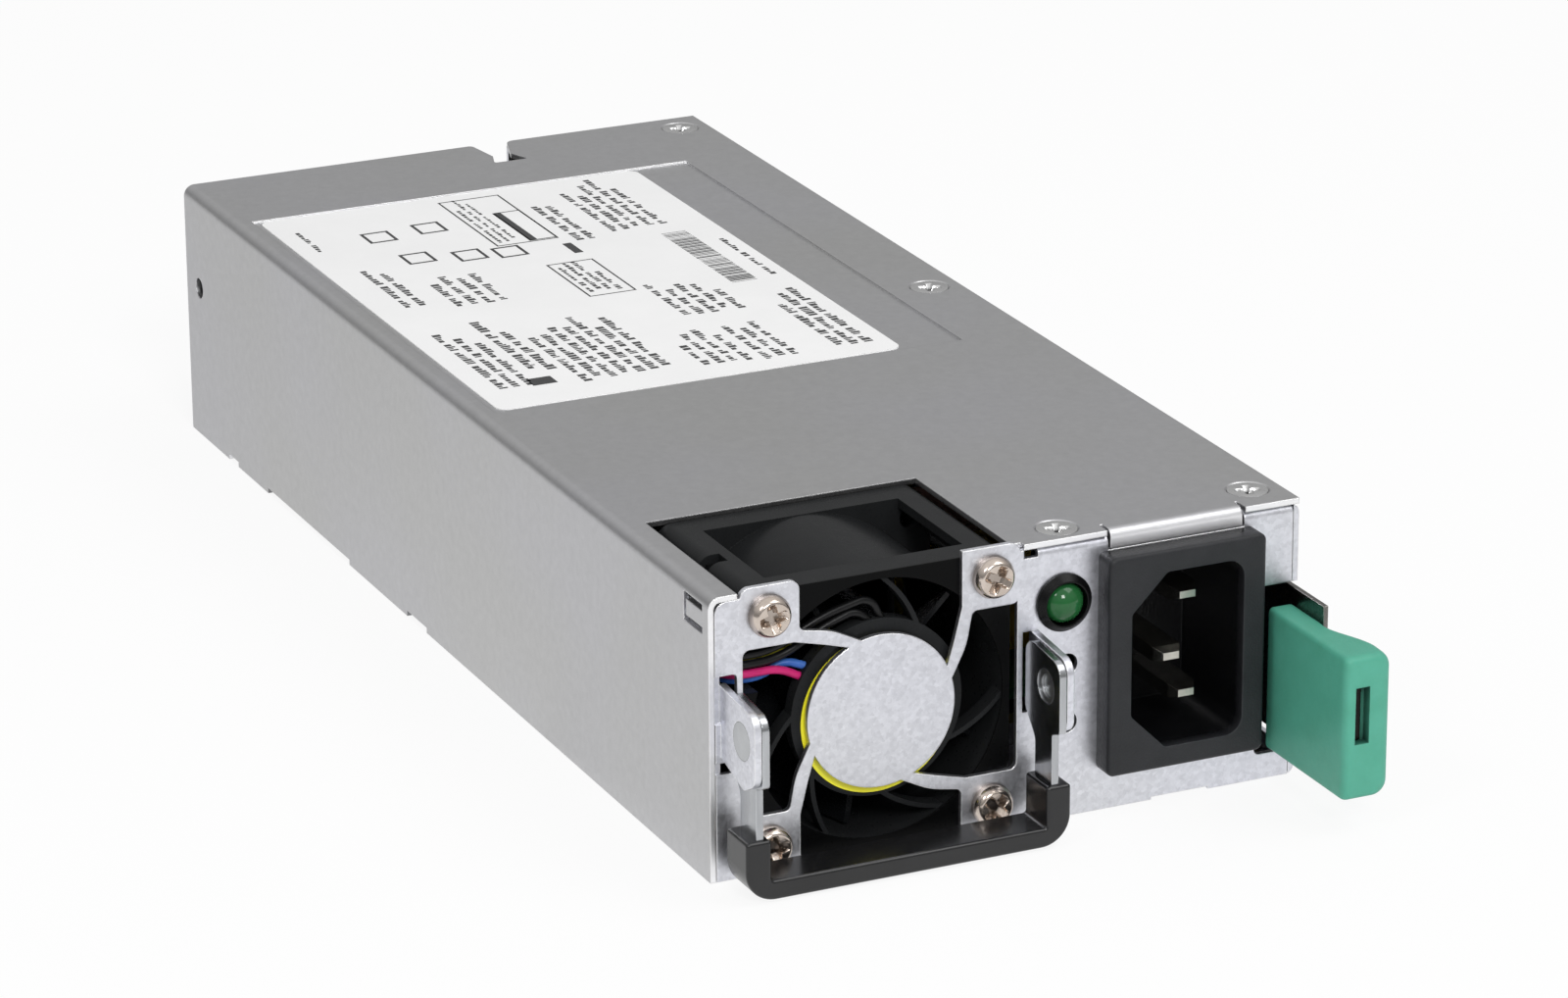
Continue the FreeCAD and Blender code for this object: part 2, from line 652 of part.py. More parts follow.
def base_tray():
    """Floor, right wall with its flange, short left lip and rear wall, folded from one sheet."""
    inner = BEND - SHEET
    section = (
        (INNER_LEFT, 0, BEND), (RIGHT, 0, BEND), (RIGHT, ROOF, BEND), (RIGHT - TRAY_FLANGE, ROOF, 0),
        (RIGHT - TRAY_FLANGE, ROOF - SHEET, 0), (RIGHT - SHEET, ROOF - SHEET, inner),
        (RIGHT - SHEET, SHEET, inner), (INNER_LEFT + SHEET, SHEET, inner),
        (INNER_LEFT + SHEET, TRAY_LIP, 0), (INNER_LEFT, TRAY_LIP, 0),
    )
    channel = plate(section, "y", FRONT, BACK)
    wall = ((INNER_LEFT, 0, BEND), (RIGHT, 0, BEND), (RIGHT, ROOF, BEND), (INNER_LEFT, ROOF, COVER_BEND))
    tray = fuse(channel, plate(wall, "y", BACK - SHEET, BACK))
    half = TONGUE_WIDTH / 2 + PORT_PLAY
    low = BOARD_BOTTOM + BOARD_THICK / 2 - PORT_HEIGHT / 2
    tools = [
        box(LEFT, RIGHT - SHEET, FRONT - 1, behind(SHEET), -1, CASE_HEIGHT),
        box(LEFT, RIGHT - SHEET, FRONT - 1, behind(PANEL_FLANGE + RELIEF), ROOF - BEND, CASE_HEIGHT),
        box(LEFT, INNER_LEFT + 2 * SHEET, FRONT - 1, behind(PANEL_RETURN + RELIEF), SHEET, CASE_HEIGHT),
        rounded_box(-half, half, BACK - 2 * SHEET, BACK + SHEET, low, low + PORT_HEIGHT, "y", PORT_CORNER),
        latch_window(),
        box(KEYWAY[0][0], KEYWAY[-1][0], BACK - 2 * SHEET, BACK + SHEET,
            CASE_HEIGHT - KEYWAY_DROP, CASE_HEIGHT),
    ]
    tools += rear_vents() + cover_screw_tools()
    for z in LATCH_RIVET_HEIGHTS:
        y = behind(LATCH_HINGE_DEPTH)
        tools.append(rod(LATCH_RIVET_RADIUS, V(RIGHT - 2 * SHEET, y, z), V(RIGHT + 1, y, z)))
    return cut_all(tray, tools)


def keyway():
    """Notch in the rear edge of the cover, with a rounded mouth and a wider inner end."""
    corners = [(x, BACK - depth, radius) for x, depth, radius in KEYWAY]
    left = KEYWAY[0][0] - 3
    right = KEYWAY[-1][0] + 3
    mouth = [(left, BACK, 0)] + corners + [(right, BACK, 0), (right, BACK + 1, 0), (left, BACK + 1, 0)]
    return plate(mouth, "z", ROOF - 1, CASE_HEIGHT + 1)


def lance_slits():
    """Three slits that free a small tab in the cover's side wall, open towards the front."""
    front, rear, bottom, top = LANCE
    low = CASE_HEIGHT - bottom
    high = CASE_HEIGHT - top
    x0 = LEFT - 1
    x1 = LEFT + 1.5 * SHEET
    return (
        box(x0, x1, behind(rear - LANCE_SLIT), behind(rear), low, high),
        box(x0, x1, behind(front), behind(rear), high - LANCE_SLIT, high),
        box(x0, x1, behind(front), behind(rear), low, low + LANCE_SLIT),
    )


def top_cover():
    """Top and left wall folded from one sheet, with fan cut-out, front lip and label recess."""
    section = (
        (LEFT, 0, 0), (LEFT, CASE_HEIGHT, COVER_BEND), (RIGHT, CASE_HEIGHT, 0), (RIGHT, ROOF, 0),
        (LEFT + SHEET, ROOF, COVER_BEND - SHEET), (LEFT + SHEET, 0, 0),
    )
    recess_rear = ahead_of_rear(RECESS_REAR)
    recess_front = recess_rear - RECESS_LENGTH
    pressed = box(RECESS_LEFT, RECESS_RIGHT, recess_front, recess_rear, ROOF - LABEL_RECESS, ROOF + SHEET / 2)
    cover = fuse(plate(section, "y", FRONT, BACK), pressed)
    reach = 2 * BEND
    above = CASE_HEIGHT + 1
    hole_y = ahead_of_rear(SIDE_HOLE_INSET)
    hole_z = CASE_HEIGHT - SIDE_HOLE_DROP
    tools = [
        box(FAN_LEFT - CUTOUT_LEFT, FAN_RIGHT + FAN_PLAY, FRONT - 1, behind(SHEET + FAN_DEPTH + CUTOUT_REAR),
            ROOF - 1, above),
        box(FAN_X, FAN_X + GUARD_TAB_OUTER + RELIEF, FRONT - 1, behind(SHEET + CUTOUT_REAR), ROOF - 1, above),
        box(RECESS_LEFT, RECESS_RIGHT, recess_front, recess_rear, CASE_HEIGHT - LABEL_RECESS, above),
        box(LIP_LEFT - RELIEF, LIP_RIGHT + RELIEF, FRONT - 1, behind(reach), ROOF - 1, above),
        rod(SIDE_HOLE / 2, V(LEFT - 1, hole_y, hole_z), V(LEFT + 2 * SHEET, hole_y, hole_z)),
    ]
    tools.append(keyway())
    tools += lance_slits()
    tools += cover_screw_tools()
    for inset, length in NOTCHES:
        start = ahead_of_rear(inset)
        tools.append(box(LEFT - 1, LEFT + SHEET + SEAM / 2, start, start + length, -1, NOTCH_HEIGHT))
    lip = plate((
        (FRONT, CASE_HEIGHT - LIP_DROP, 0), (FRONT, CASE_HEIGHT, BEND), (behind(reach), CASE_HEIGHT, 0),
        (behind(reach), ROOF, 0), (behind(SHEET), ROOF, BEND - SHEET),
        (behind(SHEET), CASE_HEIGHT - LIP_DROP, 0),
    ), "x", LIP_LEFT, LIP_RIGHT)
    return fuse(cut_all(cover, tools), lip)


def rating_label():
    """Plain label stuck in the cover's recess."""
    x0 = RECESS_LEFT + LABEL_INSET
    y0 = ahead_of_rear(RECESS_REAR + RECESS_LENGTH) + LABEL_INSET
    z0 = CASE_HEIGHT - LABEL_RECESS
    return rounded_box(x0, x0 + LABEL_WIDTH, y0, y0 + LABEL_LENGTH, z0, z0 + LABEL_THICK, "z", LABEL_CORNER)


def cover_screws():
    """Four countersunk screws."""
    return [countersunk_screw(x, y, 0) for x, y in COVER_SCREWS]


# ---------------------------------------------------------------- front panel
def guard_arm():
    """Upper left corner tab of the finger guard and its curved spoke, as a flat plate."""
    inner = -GUARD_TAB_INNER
    outer = -GUARD_TAB_OUTER
    top = GUARD_TAB_INNER + SPOKE_DROP
    radius, sag, upper, lower = SPOKE_BEND
    (near, shallow), (far, deep) = SPOKE_ROOT
    points = (
        (outer, GUARD_TAB_INNER, 0), (outer, GUARD_TAB_OUTER, 1.5), (inner, GUARD_TAB_OUTER, 1.3),
        (inner, top, 0.9), (-upper, top - sag, radius), (-near, GUARD_DISC - shallow, 0),
        (-far, GUARD_DISC - deep, 0), (-lower, top - sag - GUARD_SPOKE, radius),
        (-SPOKE_HEEL, GUARD_TAB_INNER, 0),
    )
    corners = [(FAN_X + u, FAN_Z + w, radius) for u, w, radius in points]
    return plate(corners, "y", FRONT, behind(SHEET))


def finger_guard():
    """Disc held by four curved spokes that run from the corner tabs, clipped at the floor."""
    disc = rod(GUARD_DISC, V(FAN_X, FRONT, FAN_Z), V(FAN_X, behind(SHEET), FAN_Z))
    arms = [around_fan(guard_arm(), 90 * k) for k in range(4)]
    below = box(LEFT, RIGHT, FRONT - 1, behind(SHEET + 1), -5, 0)
    return fuse(disc, *arms).cut(below)


def fold_back(x0, x1, depth):
    """Strip at the panel's top edge that bends back under the cover."""
    foot = ROOF - 3 * BEND
    return plate((
        (FRONT, foot, 0), (FRONT, ROOF, BEND), (behind(depth), ROOF, 0), (behind(depth), ROOF - SHEET, 0),
        (behind(SHEET), ROOF - SHEET, BEND - SHEET), (behind(SHEET), foot, 0),
    ), "x", x0, x1)


def ear(side):
    """Lug that carries the handle's pivot; side is -1 at the left and 1 at the right."""
    corners = (
        (behind(SHEET), HEAD_BOTTOM + 1.0, 0), (behind(SHEET), HEAD_TOP + 0.2, 0),
        (behind(-HEAD_FORWARD), HEAD_TOP - 0.7, 2.3), (behind(-HEAD_FORWARD), HEAD_BOTTOM + 0.6, 2.2),
        (behind(-HEAD_FORWARD + 3.4), HEAD_BOTTOM - 1.2, 1.5),
    )
    x0 = FAN_X + side * EAR_INNER
    x1 = FAN_X + side * (EAR_INNER + HANDLE_SHEET)
    lug = plate(corners, "x", min(x0, x1), max(x0, x1))
    return lug.cut(rod(RIVET_HEAD, V(x0 - 2, PIVOT_Y, PIVOT_Z), V(x0 + 2, PIVOT_Y, PIVOT_Z)))


def panel_window(x0, x1, z0, z1):
    """Square opening through the front panel."""
    return box(x0, x1, FRONT - 1, behind(2), z0, z1)


def panel_tools():
    """Every opening and notch of the panel's face, apart from the screw holes."""
    foot = ROOF - 3 * BEND
    flange = FAN_RIGHT + FLANGE_SIDE
    right_ear = FAN_X + EAR_INNER
    left_ear = FAN_X - EAR_INNER
    sweep = HANDLE_SHEET + 3 * ARM_GAP
    foot_left = INLET_X - FOOT_RECESS[0]
    tools = [
        panel_window(FAN_X - GUARD_WINDOW, FAN_X + GUARD_WINDOW, -1, CASE_HEIGHT + 2),
        panel_window(FAN_X + GUARD_TAB_OUTER + RELIEF, flange, ROOF - BEND, ROOF + 1),
        panel_window(flange, LIP_LEFT - FLANGE_GAP, foot, ROOF + 1),
        panel_window(LIP_LEFT - FLANGE_GAP, LIP_RIGHT + FLANGE_GAP, CASE_HEIGHT - LIP_DROP - SEAM, ROOF + 1),
        panel_window(LIP_RIGHT + FLANGE_GAP, INNER_RIGHT + 1, foot, ROOF + 1),
        panel_window(INLET_X - INLET_WIDTH / 2, INLET_X + INLET_WIDTH / 2,
                     INLET_Z - INLET_HEIGHT / 2, INLET_Z + INLET_HEIGHT / 2),
        panel_window(foot_left, foot_left + FOOT_RECESS[1], -1, FOOT_RECESS[2]),
        panel_window(right_ear - sweep, right_ear + HANDLE_SHEET, HEAD_BOTTOM - 0.6, HEAD_TOP + 0.2),
        rounded_box(LATCH_GATE_LEFT, INNER_RIGHT + 5, FRONT - 1, behind(2),
                    LATCH_GATE[0], LATCH_GATE[1], "y", 0.8),
        rounded_box(INNER_LEFT - 3, left_ear + sweep, FRONT - 1, behind(2),
                    HEAD_BOTTOM - 1.6, HEAD_TOP + 1.5, "y", 0.7),
        rod(LED_SLEEVE, V(LED_X, FRONT - 1, LED_Z), V(LED_X, behind(2), LED_Z)),
    ]
    for z in VENT_PAIR_HEIGHTS:
        tools.append(rod(VENT_PAIR_RADIUS, V(VENT_PAIR_X, FRONT - 1, z), V(VENT_PAIR_X, behind(2), z)))
    return tools


def front_panel():
    """Front sheet with finger guard, handle ears, flanges and the holes for inlet, light and latch."""
    sheet = ((INNER_LEFT, 0, 0), (INNER_RIGHT, 0, 0), (INNER_RIGHT, ROOF, 0), (INNER_LEFT, ROOF, COVER_BEND))
    face = cut_all(plate(sheet, "y", FRONT, behind(SHEET)), panel_tools())
    middle = FRONT + SHEET / 2
    left_return = box(INNER_LEFT, INNER_LEFT + SHEET, middle, behind(PANEL_RETURN),
                      2 * SHEET, ROOF - COVER_BEND)
    left_root = box(INNER_LEFT, FAN_X - EAR_INNER, FRONT, behind(2 * SHEET), HEAD_BOTTOM, PIVOT_Z)
    bottom_fold = box(FAN_RIGHT + 4, LATCH_GATE_LEFT - 2, middle, behind(PANEL_FLANGE), SHEET, 2 * SHEET)
    panel = fuse(
        face, finger_guard(), left_return, left_root, bottom_fold, ear(-1), ear(1),
        fold_back(FAN_RIGHT + FLANGE_SIDE, LIP_LEFT - FLANGE_GAP, PANEL_FLANGE),
        fold_back(LIP_RIGHT + FLANGE_GAP, INNER_RIGHT, PANEL_FLANGE),
    )
    corners = [(FAN_X + side * GUARD_WINDOW, FAN_Z + rise * GUARD_TAB_INNER)
               for side in (-1, 1) for rise in (-1, 1)]
    panel = panel.makeFillet(1.0, edges_along_y(panel, corners))
    screw_tools = cover_screw_tools()
    for x, z in corner_spots():
        screw_tools.append(rod(M3_RADIUS + 0.2, V(x, FRONT - 1, z), V(x, behind(2), z)))
    return cut_all(panel, screw_tools)


# ---------------------------------------------------------------- fan
def corner_spots():
    """Fan screw centres as (x, z)."""
    return [(FAN_X + u, FAN_Z + w) for u in (-SCREW_REACH, SCREW_REACH) for w in (-SCREW_REACH, SCREW_REACH)]


def pan_screw(x, z):
    """Pan head screw that holds the panel to a corner of the fan."""
    front = FRONT - FAN_SCREW_HEAD_HEIGHT
    head = rod(FAN_SCREW_HEAD, V(x, front, z), V(x, FRONT, z))
    head = head.makeChamfer(FAN_SCREW_BEVEL, rim(head, "y", front))
    shank = rod(M3_RADIUS, V(x, FRONT, z), V(x, FRONT + FAN_SCREW_LENGTH, z))
    return fuse(head, shank)


def fan_screws():
    """Four pan head screws."""
    return [pan_screw(x, z) for x, z in corner_spots()]


def strut(angle):
    """One curved strut between the motor base and the duct wall, its middle at this angle."""
    half = STRUT_WIDTH / 2
    inner = MOTOR_BASE_RADIUS - 0.6
    outer = DUCT_RADIUS + 0.3
    radii = (inner, (inner + outer) / 2, outer)

    def at(place, side):
        turn = math.degrees(half / radii[place])
        return fan_polar(radii[place], angle + STRUT_TURN[place] + side * turn, MOTOR_BASE_START)

    edges = [
        Part.Arc(at(0, -1), at(1, -1), at(2, -1)).toShape(),
        Part.LineSegment(at(2, -1), at(2, 1)).toShape(),
        Part.Arc(at(2, 1), at(1, 1), at(0, 1)).toShape(),
        Part.LineSegment(at(0, 1), at(0, -1)).toShape(),
    ]
    return Part.Face(Part.Wire(edges)).extrude(V(0, STRUT_DEPTH, 0))


def corner_rails():
    """Angle-shaped rails along the four corners of the fan's housing."""
    rails = []
    for su in (-1, 1):
        for sw in (-1, 1):
            for width, height in ((RAIL_WIDTH, RAIL_THICK), (RAIL_THICK, RAIL_WIDTH)):
                x = sorted((FAN_X + su * FAN_HALF, FAN_X + su * (FAN_HALF - width)))
                z = sorted((FAN_Z + sw * FAN_HALF, FAN_Z + sw * (FAN_HALF - height)))
                rails.append(box(x[0], x[1], FAN_FACE, FAN_FACE + FAN_DEPTH, z[0], z[1]))
    return rails


def lead_bores():
    """Blind bores in the motor base's rim, one at the inner end of each lead."""
    bores = []
    for name in FAN_LEADS:
        for route in FAN_LEADS[name]:
            points = fan_lead_points(route)
            direction = (points[1] - points[0]).normalize()
            bores.append(rod(LEAD_DIAMETER / 2 + SEAM, points[0], points[0] + direction * 3))
    return bores


def fan_frame():
    """Moulded fan housing: duct, two flanges, corner rails, motor base on struts and bearing tube."""
    y0 = FAN_FACE
    y1 = FAN_FACE + FAN_DEPTH
    top = SHEET + FAN_SIZE
    body = rounded_box(FAN_LEFT, FAN_RIGHT, y0, y1, SHEET, top, "y", FAN_CORNER)
    between = box(FAN_LEFT - 1, FAN_RIGHT + 1, y0 + FAN_FLANGE, y1 - FAN_FLANGE, 0, top + 1)
    keep = rod(DUCT_RADIUS + DUCT_WALL, fan_point(0, 0, 0), fan_point(0, FAN_DEPTH, 0))
    pockets = between.cut([keep] + corner_rails())
    tools = [pockets, rod(DUCT_RADIUS, fan_point(0, -1, 0), fan_point(0, FAN_DEPTH + 1, 0))]
    for x, z in corner_spots():
        tools.append(rod(M3_RADIUS, V(x, y0 - 1, z), V(x, y1 + 1, z)))
    low, high, depth = LEAD_SLOT
    inside = FAN_X - MOTOR_BASE_RADIUS
    tools.append(box(FAN_LEFT - 1, inside, y0 - 1, y0 + depth, FAN_Z + low, FAN_Z + high))
    front, rear, width, height = LEAD_NOTCH
    tools.append(box(FAN_LEFT - 1, FAN_LEFT + width, y0 + front, y0 + rear, top - height, top + 1))
    end = MOTOR_BASE_START + MOTOR_BASE_THICK
    base = rod(MOTOR_BASE_RADIUS, fan_point(0, MOTOR_BASE_START, 0), fan_point(0, end, 0))
    bearing_tube = rod(BEARING_OUTER + BEARING_TUBE_WALL, fan_point(0, MOTOR_BASE_START, 0),
                       fan_point(0, BEARING_TUBE_END, 0))
    struts = [strut(angle) for angle in STRUT_ANGLES]
    frame = fuse(body.cut(tools), base, bearing_tube, *struts)
    return frame.cut([rod(BEARING_OUTER, fan_point(0, end, 0), fan_point(0, FAN_DEPTH, 0))] + lead_bores())


def fan_label():
    """Round yellow label on the motor base, a little below the fan's axis."""
    return rod(FAN_LABEL_RADIUS, fan_point(0, MOTOR_BASE_START - LABEL_THICK, -FAN_LABEL_DROP),
               fan_point(0, MOTOR_BASE_START, -FAN_LABEL_DROP))


def fan_circuit_board():
    """Ring-shaped drive board behind the motor base."""
    start = MOTOR_BASE_START + MOTOR_BASE_THICK
    end = start + CIRCUIT_THICK
    inner = BEARING_OUTER + BEARING_TUBE_WALL
    return tube(STATOR_RADIUS, inner, fan_point(0, start, 0), fan_point(0, end, 0))


def stator_core():
    """Laminated core with four T-shaped poles."""
    start = fan_point(0, STATOR_START, 0)
    end = fan_point(0, STATOR_START + STATOR_LENGTH, 0)
    half = STATOR_STEM / 2
    width = STATOR_SHOE_WIDTH / 2
    inner = STATOR_RADIUS - STATOR_SHOE
    shoe = tube(STATOR_RADIUS, inner, start, end)
    shoe = shoe.common(box(FAN_X - width, FAN_X + width, start.y - 1, end.y + 1, FAN_Z, FAN_Z + FAN_HALF))
    stem = box(FAN_X - half, FAN_X + half, start.y, end.y,
               FAN_Z + STATOR_ROOT - 1, FAN_Z + inner + STATOR_SHOE / 2)
    pieces = [rod(STATOR_ROOT, start, end)]
    for k in range(4):
        pieces += [around_fan(stem, 90 * k), around_fan(shoe, 90 * k)]
    return fuse(*pieces).cut(rod(BEARING_OUTER + BEARING_TUBE_WALL + STATOR_FIT, start, end))


def stator_coils():
    """Copper coils round the four poles."""
    coils = []
    y0 = FAN_FACE + STATOR_START - COIL_OVERHANG
    y1 = FAN_FACE + STATOR_START + STATOR_LENGTH + COIL_OVERHANG
    stem = STATOR_STEM / 2 + STATOR_FIT
    half = stem + COIL_WALL
    low = FAN_Z + STATOR_ROOT + 0.1
    coil = rounded_box(FAN_X - half, FAN_X + half, y0, y1, low, low + COIL_HEIGHT, "z", COIL_WALL - 0.4)
    reach = COIL_OVERHANG - STATOR_FIT
    coil = coil.cut(box(FAN_X - stem, FAN_X + stem, y0 + reach, y1 - reach, FAN_Z, FAN_Z + FAN_HALF))
    for k in range(4):
        coils.append(around_fan(coil, 90 * k))
    return coils


def fan_bearings():
    """Two miniature ball bearings, one at each end of the bearing tube."""
    starts = (MOTOR_BASE_START + MOTOR_BASE_THICK, BEARING_TUBE_END - BEARING_LENGTH)
    return [tube(BEARING_OUTER, BEARING_BORE, fan_point(0, a, 0), fan_point(0, a + BEARING_LENGTH, 0))
            for a in starts]


def blade_section(radius, bow, lean, half):
    """Closed blade section in the plane that touches the cylinder of this radius at its top.

    The camber line runs along the axis for BLADE_LENGTH and leans sideways by lean, with this bow.
    """
    y0 = FAN_FACE + BLADE_START
    y1 = y0 + BLADE_LENGTH
    z = FAN_Z + radius
    front = V(FAN_X - lean, y0, z)
    rear = V(FAN_X + lean, y1, z)
    middle = V(FAN_X - bow, (y0 + y1) / 2, z)
    side = V(half, 0, 0)
    return Part.Wire([
        Part.Arc(front - side, middle - side, rear - side).toShape(),
        Part.LineSegment(rear - side, rear + side).toShape(),
        Part.Arc(rear + side, middle + side, front + side).toShape(),
        Part.LineSegment(front + side, front - side).toShape(),
    ])


def fan_rotor():
    """Moulded hub cup with twisted, cambered blades."""
    hub = rod(HUB_RADIUS, fan_point(0, HUB_START, 0), fan_point(0, HUB_END, 0))
    hub = hub.makeChamfer(HUB_BEVEL, rim(hub, "y", FAN_FACE + HUB_END))
    cup = rod(HUB_RADIUS - HUB_WALL, fan_point(0, HUB_START - 1, 0), fan_point(0, HUB_END - HUB_CAP, 0))
    half = BLADE_THICK / 2
    root = blade_section(HUB_RADIUS - 0.5, BLADE_ROOT[0], BLADE_ROOT[1], half)
    tip = blade_section(DUCT_RADIUS, BLADE_TIP[0], BLADE_TIP[1], half)
    sleeve = rod(DUCT_RADIUS - BLADE_TIP_GAP, fan_point(0, 0, 0), fan_point(0, FAN_DEPTH, 0))
    blade = Part.makeLoft([root, tip], True, True).common(sleeve)
    blades = [around_fan(blade, 360 / BLADE_COUNT * k) for k in range(BLADE_COUNT)]
    boss = rod(HUB_BOSS, fan_point(0, BEARING_TUBE_END + 0.8, 0), fan_point(0, HUB_END - 1, 0))
    rotor = fuse(fuse(hub, *blades).cut(cup), boss)
    return rotor.cut(rod(BEARING_BORE - SHAFT_PLAY, fan_point(0, 0, 0), fan_point(0, HUB_END - 0.8, 0)))


def rotor_magnet():
    """Ring magnet inside the hub cup."""
    start = STATOR_START - 1
    end = start + STATOR_LENGTH + 2
    return tube(HUB_RADIUS - HUB_WALL, MAGNET_INNER, fan_point(0, start, 0), fan_point(0, end, 0))


def rotor_shaft():
    """Steel shaft pressed into the hub, running in both bearings."""
    start = MOTOR_BASE_START + MOTOR_BASE_THICK + 0.3
    return rod(BEARING_BORE - SHAFT_PLAY, fan_point(0, start, 0), fan_point(0, HUB_END - 0.8, 0))


def fan_lead_points(route):
    """Corners of one lead: from the motor base round its rim, out of the frame and back to the plug."""
    near, level, layer, way, column = route
    side, row, depth = LEAD_LAYERS[layer]
    side_x = FAN_LEFT - side
    plug_x = FAN_LEFT + FAN_PLUG_SIDE + FAN_PLUG_PITCH * (column - 1)
    plug_y = behind(BOARD_FRONT + FAN_PLUG_DEPTH) + row
    z = FAN_Z + level
    points = [fan_polar(radius, angle, deep) for radius, angle, deep in near]
    points += [fan_point(u, deep, w) for u, w, deep in way]
    points += [V(side_x, FAN_FACE + depth, z), V(side_x, plug_y, z), V(plug_x, plug_y, z)]
    return points + [V(plug_x, plug_y, BOARD_TOP + FAN_PLUG[2])]


def fan_plug():
    """Six-way plug in two rows and its header on the main board."""
    width, depth, height = FAN_PLUG
    x = FAN_LEFT + FAN_PLUG_SIDE
    y = behind(BOARD_FRONT + FAN_PLUG_DEPTH)
    body = box(x - width / 2, x + width / 2, y - depth / 2, y + depth / 2, BOARD_TOP, BOARD_TOP + height)
    catch = box(x - 2, x + 2, y + depth / 2, y + depth / 2 + 0.9, BOARD_TOP + height / 3, BOARD_TOP + height)
    return fuse(body, catch)


# ---------------------------------------------------------------- status light
def led_bezel():
    """Black collar that holds the light in the panel."""
    front = FRONT - LED_BEZEL_HEIGHT
    start = V(LED_X, front, LED_Z)
    end = V(LED_X, behind(LED_SLEEVE_END), LED_Z)
    collar = rod(LED_BEZEL_RADIUS, start, V(LED_X, FRONT, LED_Z))
    collar = collar.makeChamfer(LED_BEZEL_BEVEL, rim(collar, "y", front))
    return fuse(collar, rod(LED_SLEEVE, V(LED_X, FRONT, LED_Z), end)).cut(rod(LED_RADIUS, start, end))


def status_led():
    """Domed light with its rear flange."""
    centre = FRONT - LED_TIP + LED_RADIUS
    middle = V(LED_X, centre, LED_Z)
    end = V(LED_X, behind(LED_LENGTH), LED_Z)
    dome = Part.makeSphere(LED_RADIUS, middle)
    dome = dome.common(rod(LED_RADIUS + 1, V(LED_X, centre - 2 * LED_RADIUS, LED_Z), middle))
    flange = rod(LED_RADIUS + LED_FLANGE, V(LED_X, behind(LED_SLEEVE_END), LED_Z), end)
    return fuse(dome, rod(LED_RADIUS, middle, end), flange)


def led_leads():
    """Two leads from the light to their plug on the main board."""
    leads = []
    plug_y = behind(BOARD_FRONT + LED_PLUG_DEPTH)
    for side in (-LED_LEAD_SPREAD, LED_LEAD_SPREAD):
        plug_x = FAN_RIGHT + LED_PLUG_SIDE + side
        points = [
            V(LED_X + side, behind(LED_LENGTH), LED_Z), V(LED_X + side, behind(LED_LENGTH + 10), LED_Z),
            V(plug_x, plug_y, LED_Z), V(plug_x, plug_y, BOARD_TOP + LED_PLUG[2]),
        ]
        leads.append(lead(points, LEAD_DIAMETER))
    return leads


def led_plug():
    """Two-way plug and header."""
    width, depth, height = LED_PLUG
    x = FAN_RIGHT + LED_PLUG_SIDE
    y = behind(BOARD_FRONT + LED_PLUG_DEPTH)
    return box(x - width / 2, x + width / 2, y - depth / 2, y + depth / 2, BOARD_TOP, BOARD_TOP + height)


# ---------------------------------------------------------------- mains inlet
def inlet_mouth(front, rear):
    """Socket cavity: two chamfered corners at the earth side, two rounded ones opposite."""
    w = MOUTH_WIDTH / 2
    h = MOUTH_HEIGHT / 2
    c = MOUTH_CHAMFER
    points = (
        (-w + c, -h, 1.0), (w, -h, MOUTH_RADIUS), (w, h, MOUTH_RADIUS), (-w + c, h, 1.0),
        (-w, h - c, 1.0), (-w, -h + c, 1.0),
    )
    return plate([(INLET_X + a, INLET_Z + b, r) for a, b, r in points], "y", front, rear)


def pin_places():
    """Inlet pins as (x, z, front end)."""
    return (
        (INLET_X + PIN_X, INLET_Z + PIN_SPREAD, PIN_START),
        (INLET_X + PIN_X, INLET_Z - PIN_SPREAD, PIN_START),
        (INLET_X + EARTH_X, INLET_Z, EARTH_START),
    )


def inlet_pin(x, z, start):
    """Flat pin with a tapered tip and a thin solder tag behind."""
    w = PIN_WIDTH / 2
    t = PIN_THICK / 2
    tip = start + PIN_TIP

    def rectangle(a, b, y):
        corners = [V(x - a, y, z - b), V(x + a, y, z - b), V(x + a, y, z + b), V(x - a, y, z + b)]
        return Part.makePolygon(corners + corners[:1])

    sections = [rectangle(0.58 * w, 0.5 * t, behind(start)), rectangle(w, t, behind(tip))]
    point = Part.makeLoft(sections, True, True)
    shank = box(x - w, x + w, behind(tip), behind(INLET_DEPTH), z - t, z + t)
    tag = box(x - w, x + w, behind(INLET_DEPTH), behind(PIN_TAG_END), z - TAG_THICK / 2, z + TAG_THICK / 2)
    return fuse(point, shank, tag)


def inlet_pins():
    """Line, neutral and earth pins."""
    return [inlet_pin(x, z, start) for x, z, start in pin_places()]


def inlet_body():
    """Moulded inlet: bezel in front of the panel and socket behind it."""
    w = BEZEL_WIDTH / 2
    h = BEZEL_HEIGHT / 2
    front = FRONT - BEZEL_THICK
    bezel = rounded_box(INLET_X - w, INLET_X + w, front, FRONT, INLET_Z - h, INLET_Z + h, "y", BEZEL_CORNER)
    bezel = bezel.makeFillet(BEZEL_EDGE, rim(bezel, "y", front))
    w = INLET_WIDTH / 2
    h = INLET_HEIGHT / 2
    socket = box(INLET_X - w, INLET_X + w, FRONT, behind(INLET_DEPTH), INLET_Z - h, INLET_Z + h)
    body = fuse(bezel, socket).cut(inlet_mouth(front - 1, behind(MOUTH_DEPTH)))
    slots = []
    for x, z, start in pin_places():
        w = PIN_WIDTH / 2
        t = PIN_THICK / 2
        slots.append(box(x - w, x + w, behind(MOUTH_DEPTH - 1), behind(INLET_DEPTH + 1), z - t, z + t))
    return body.cut(slots)


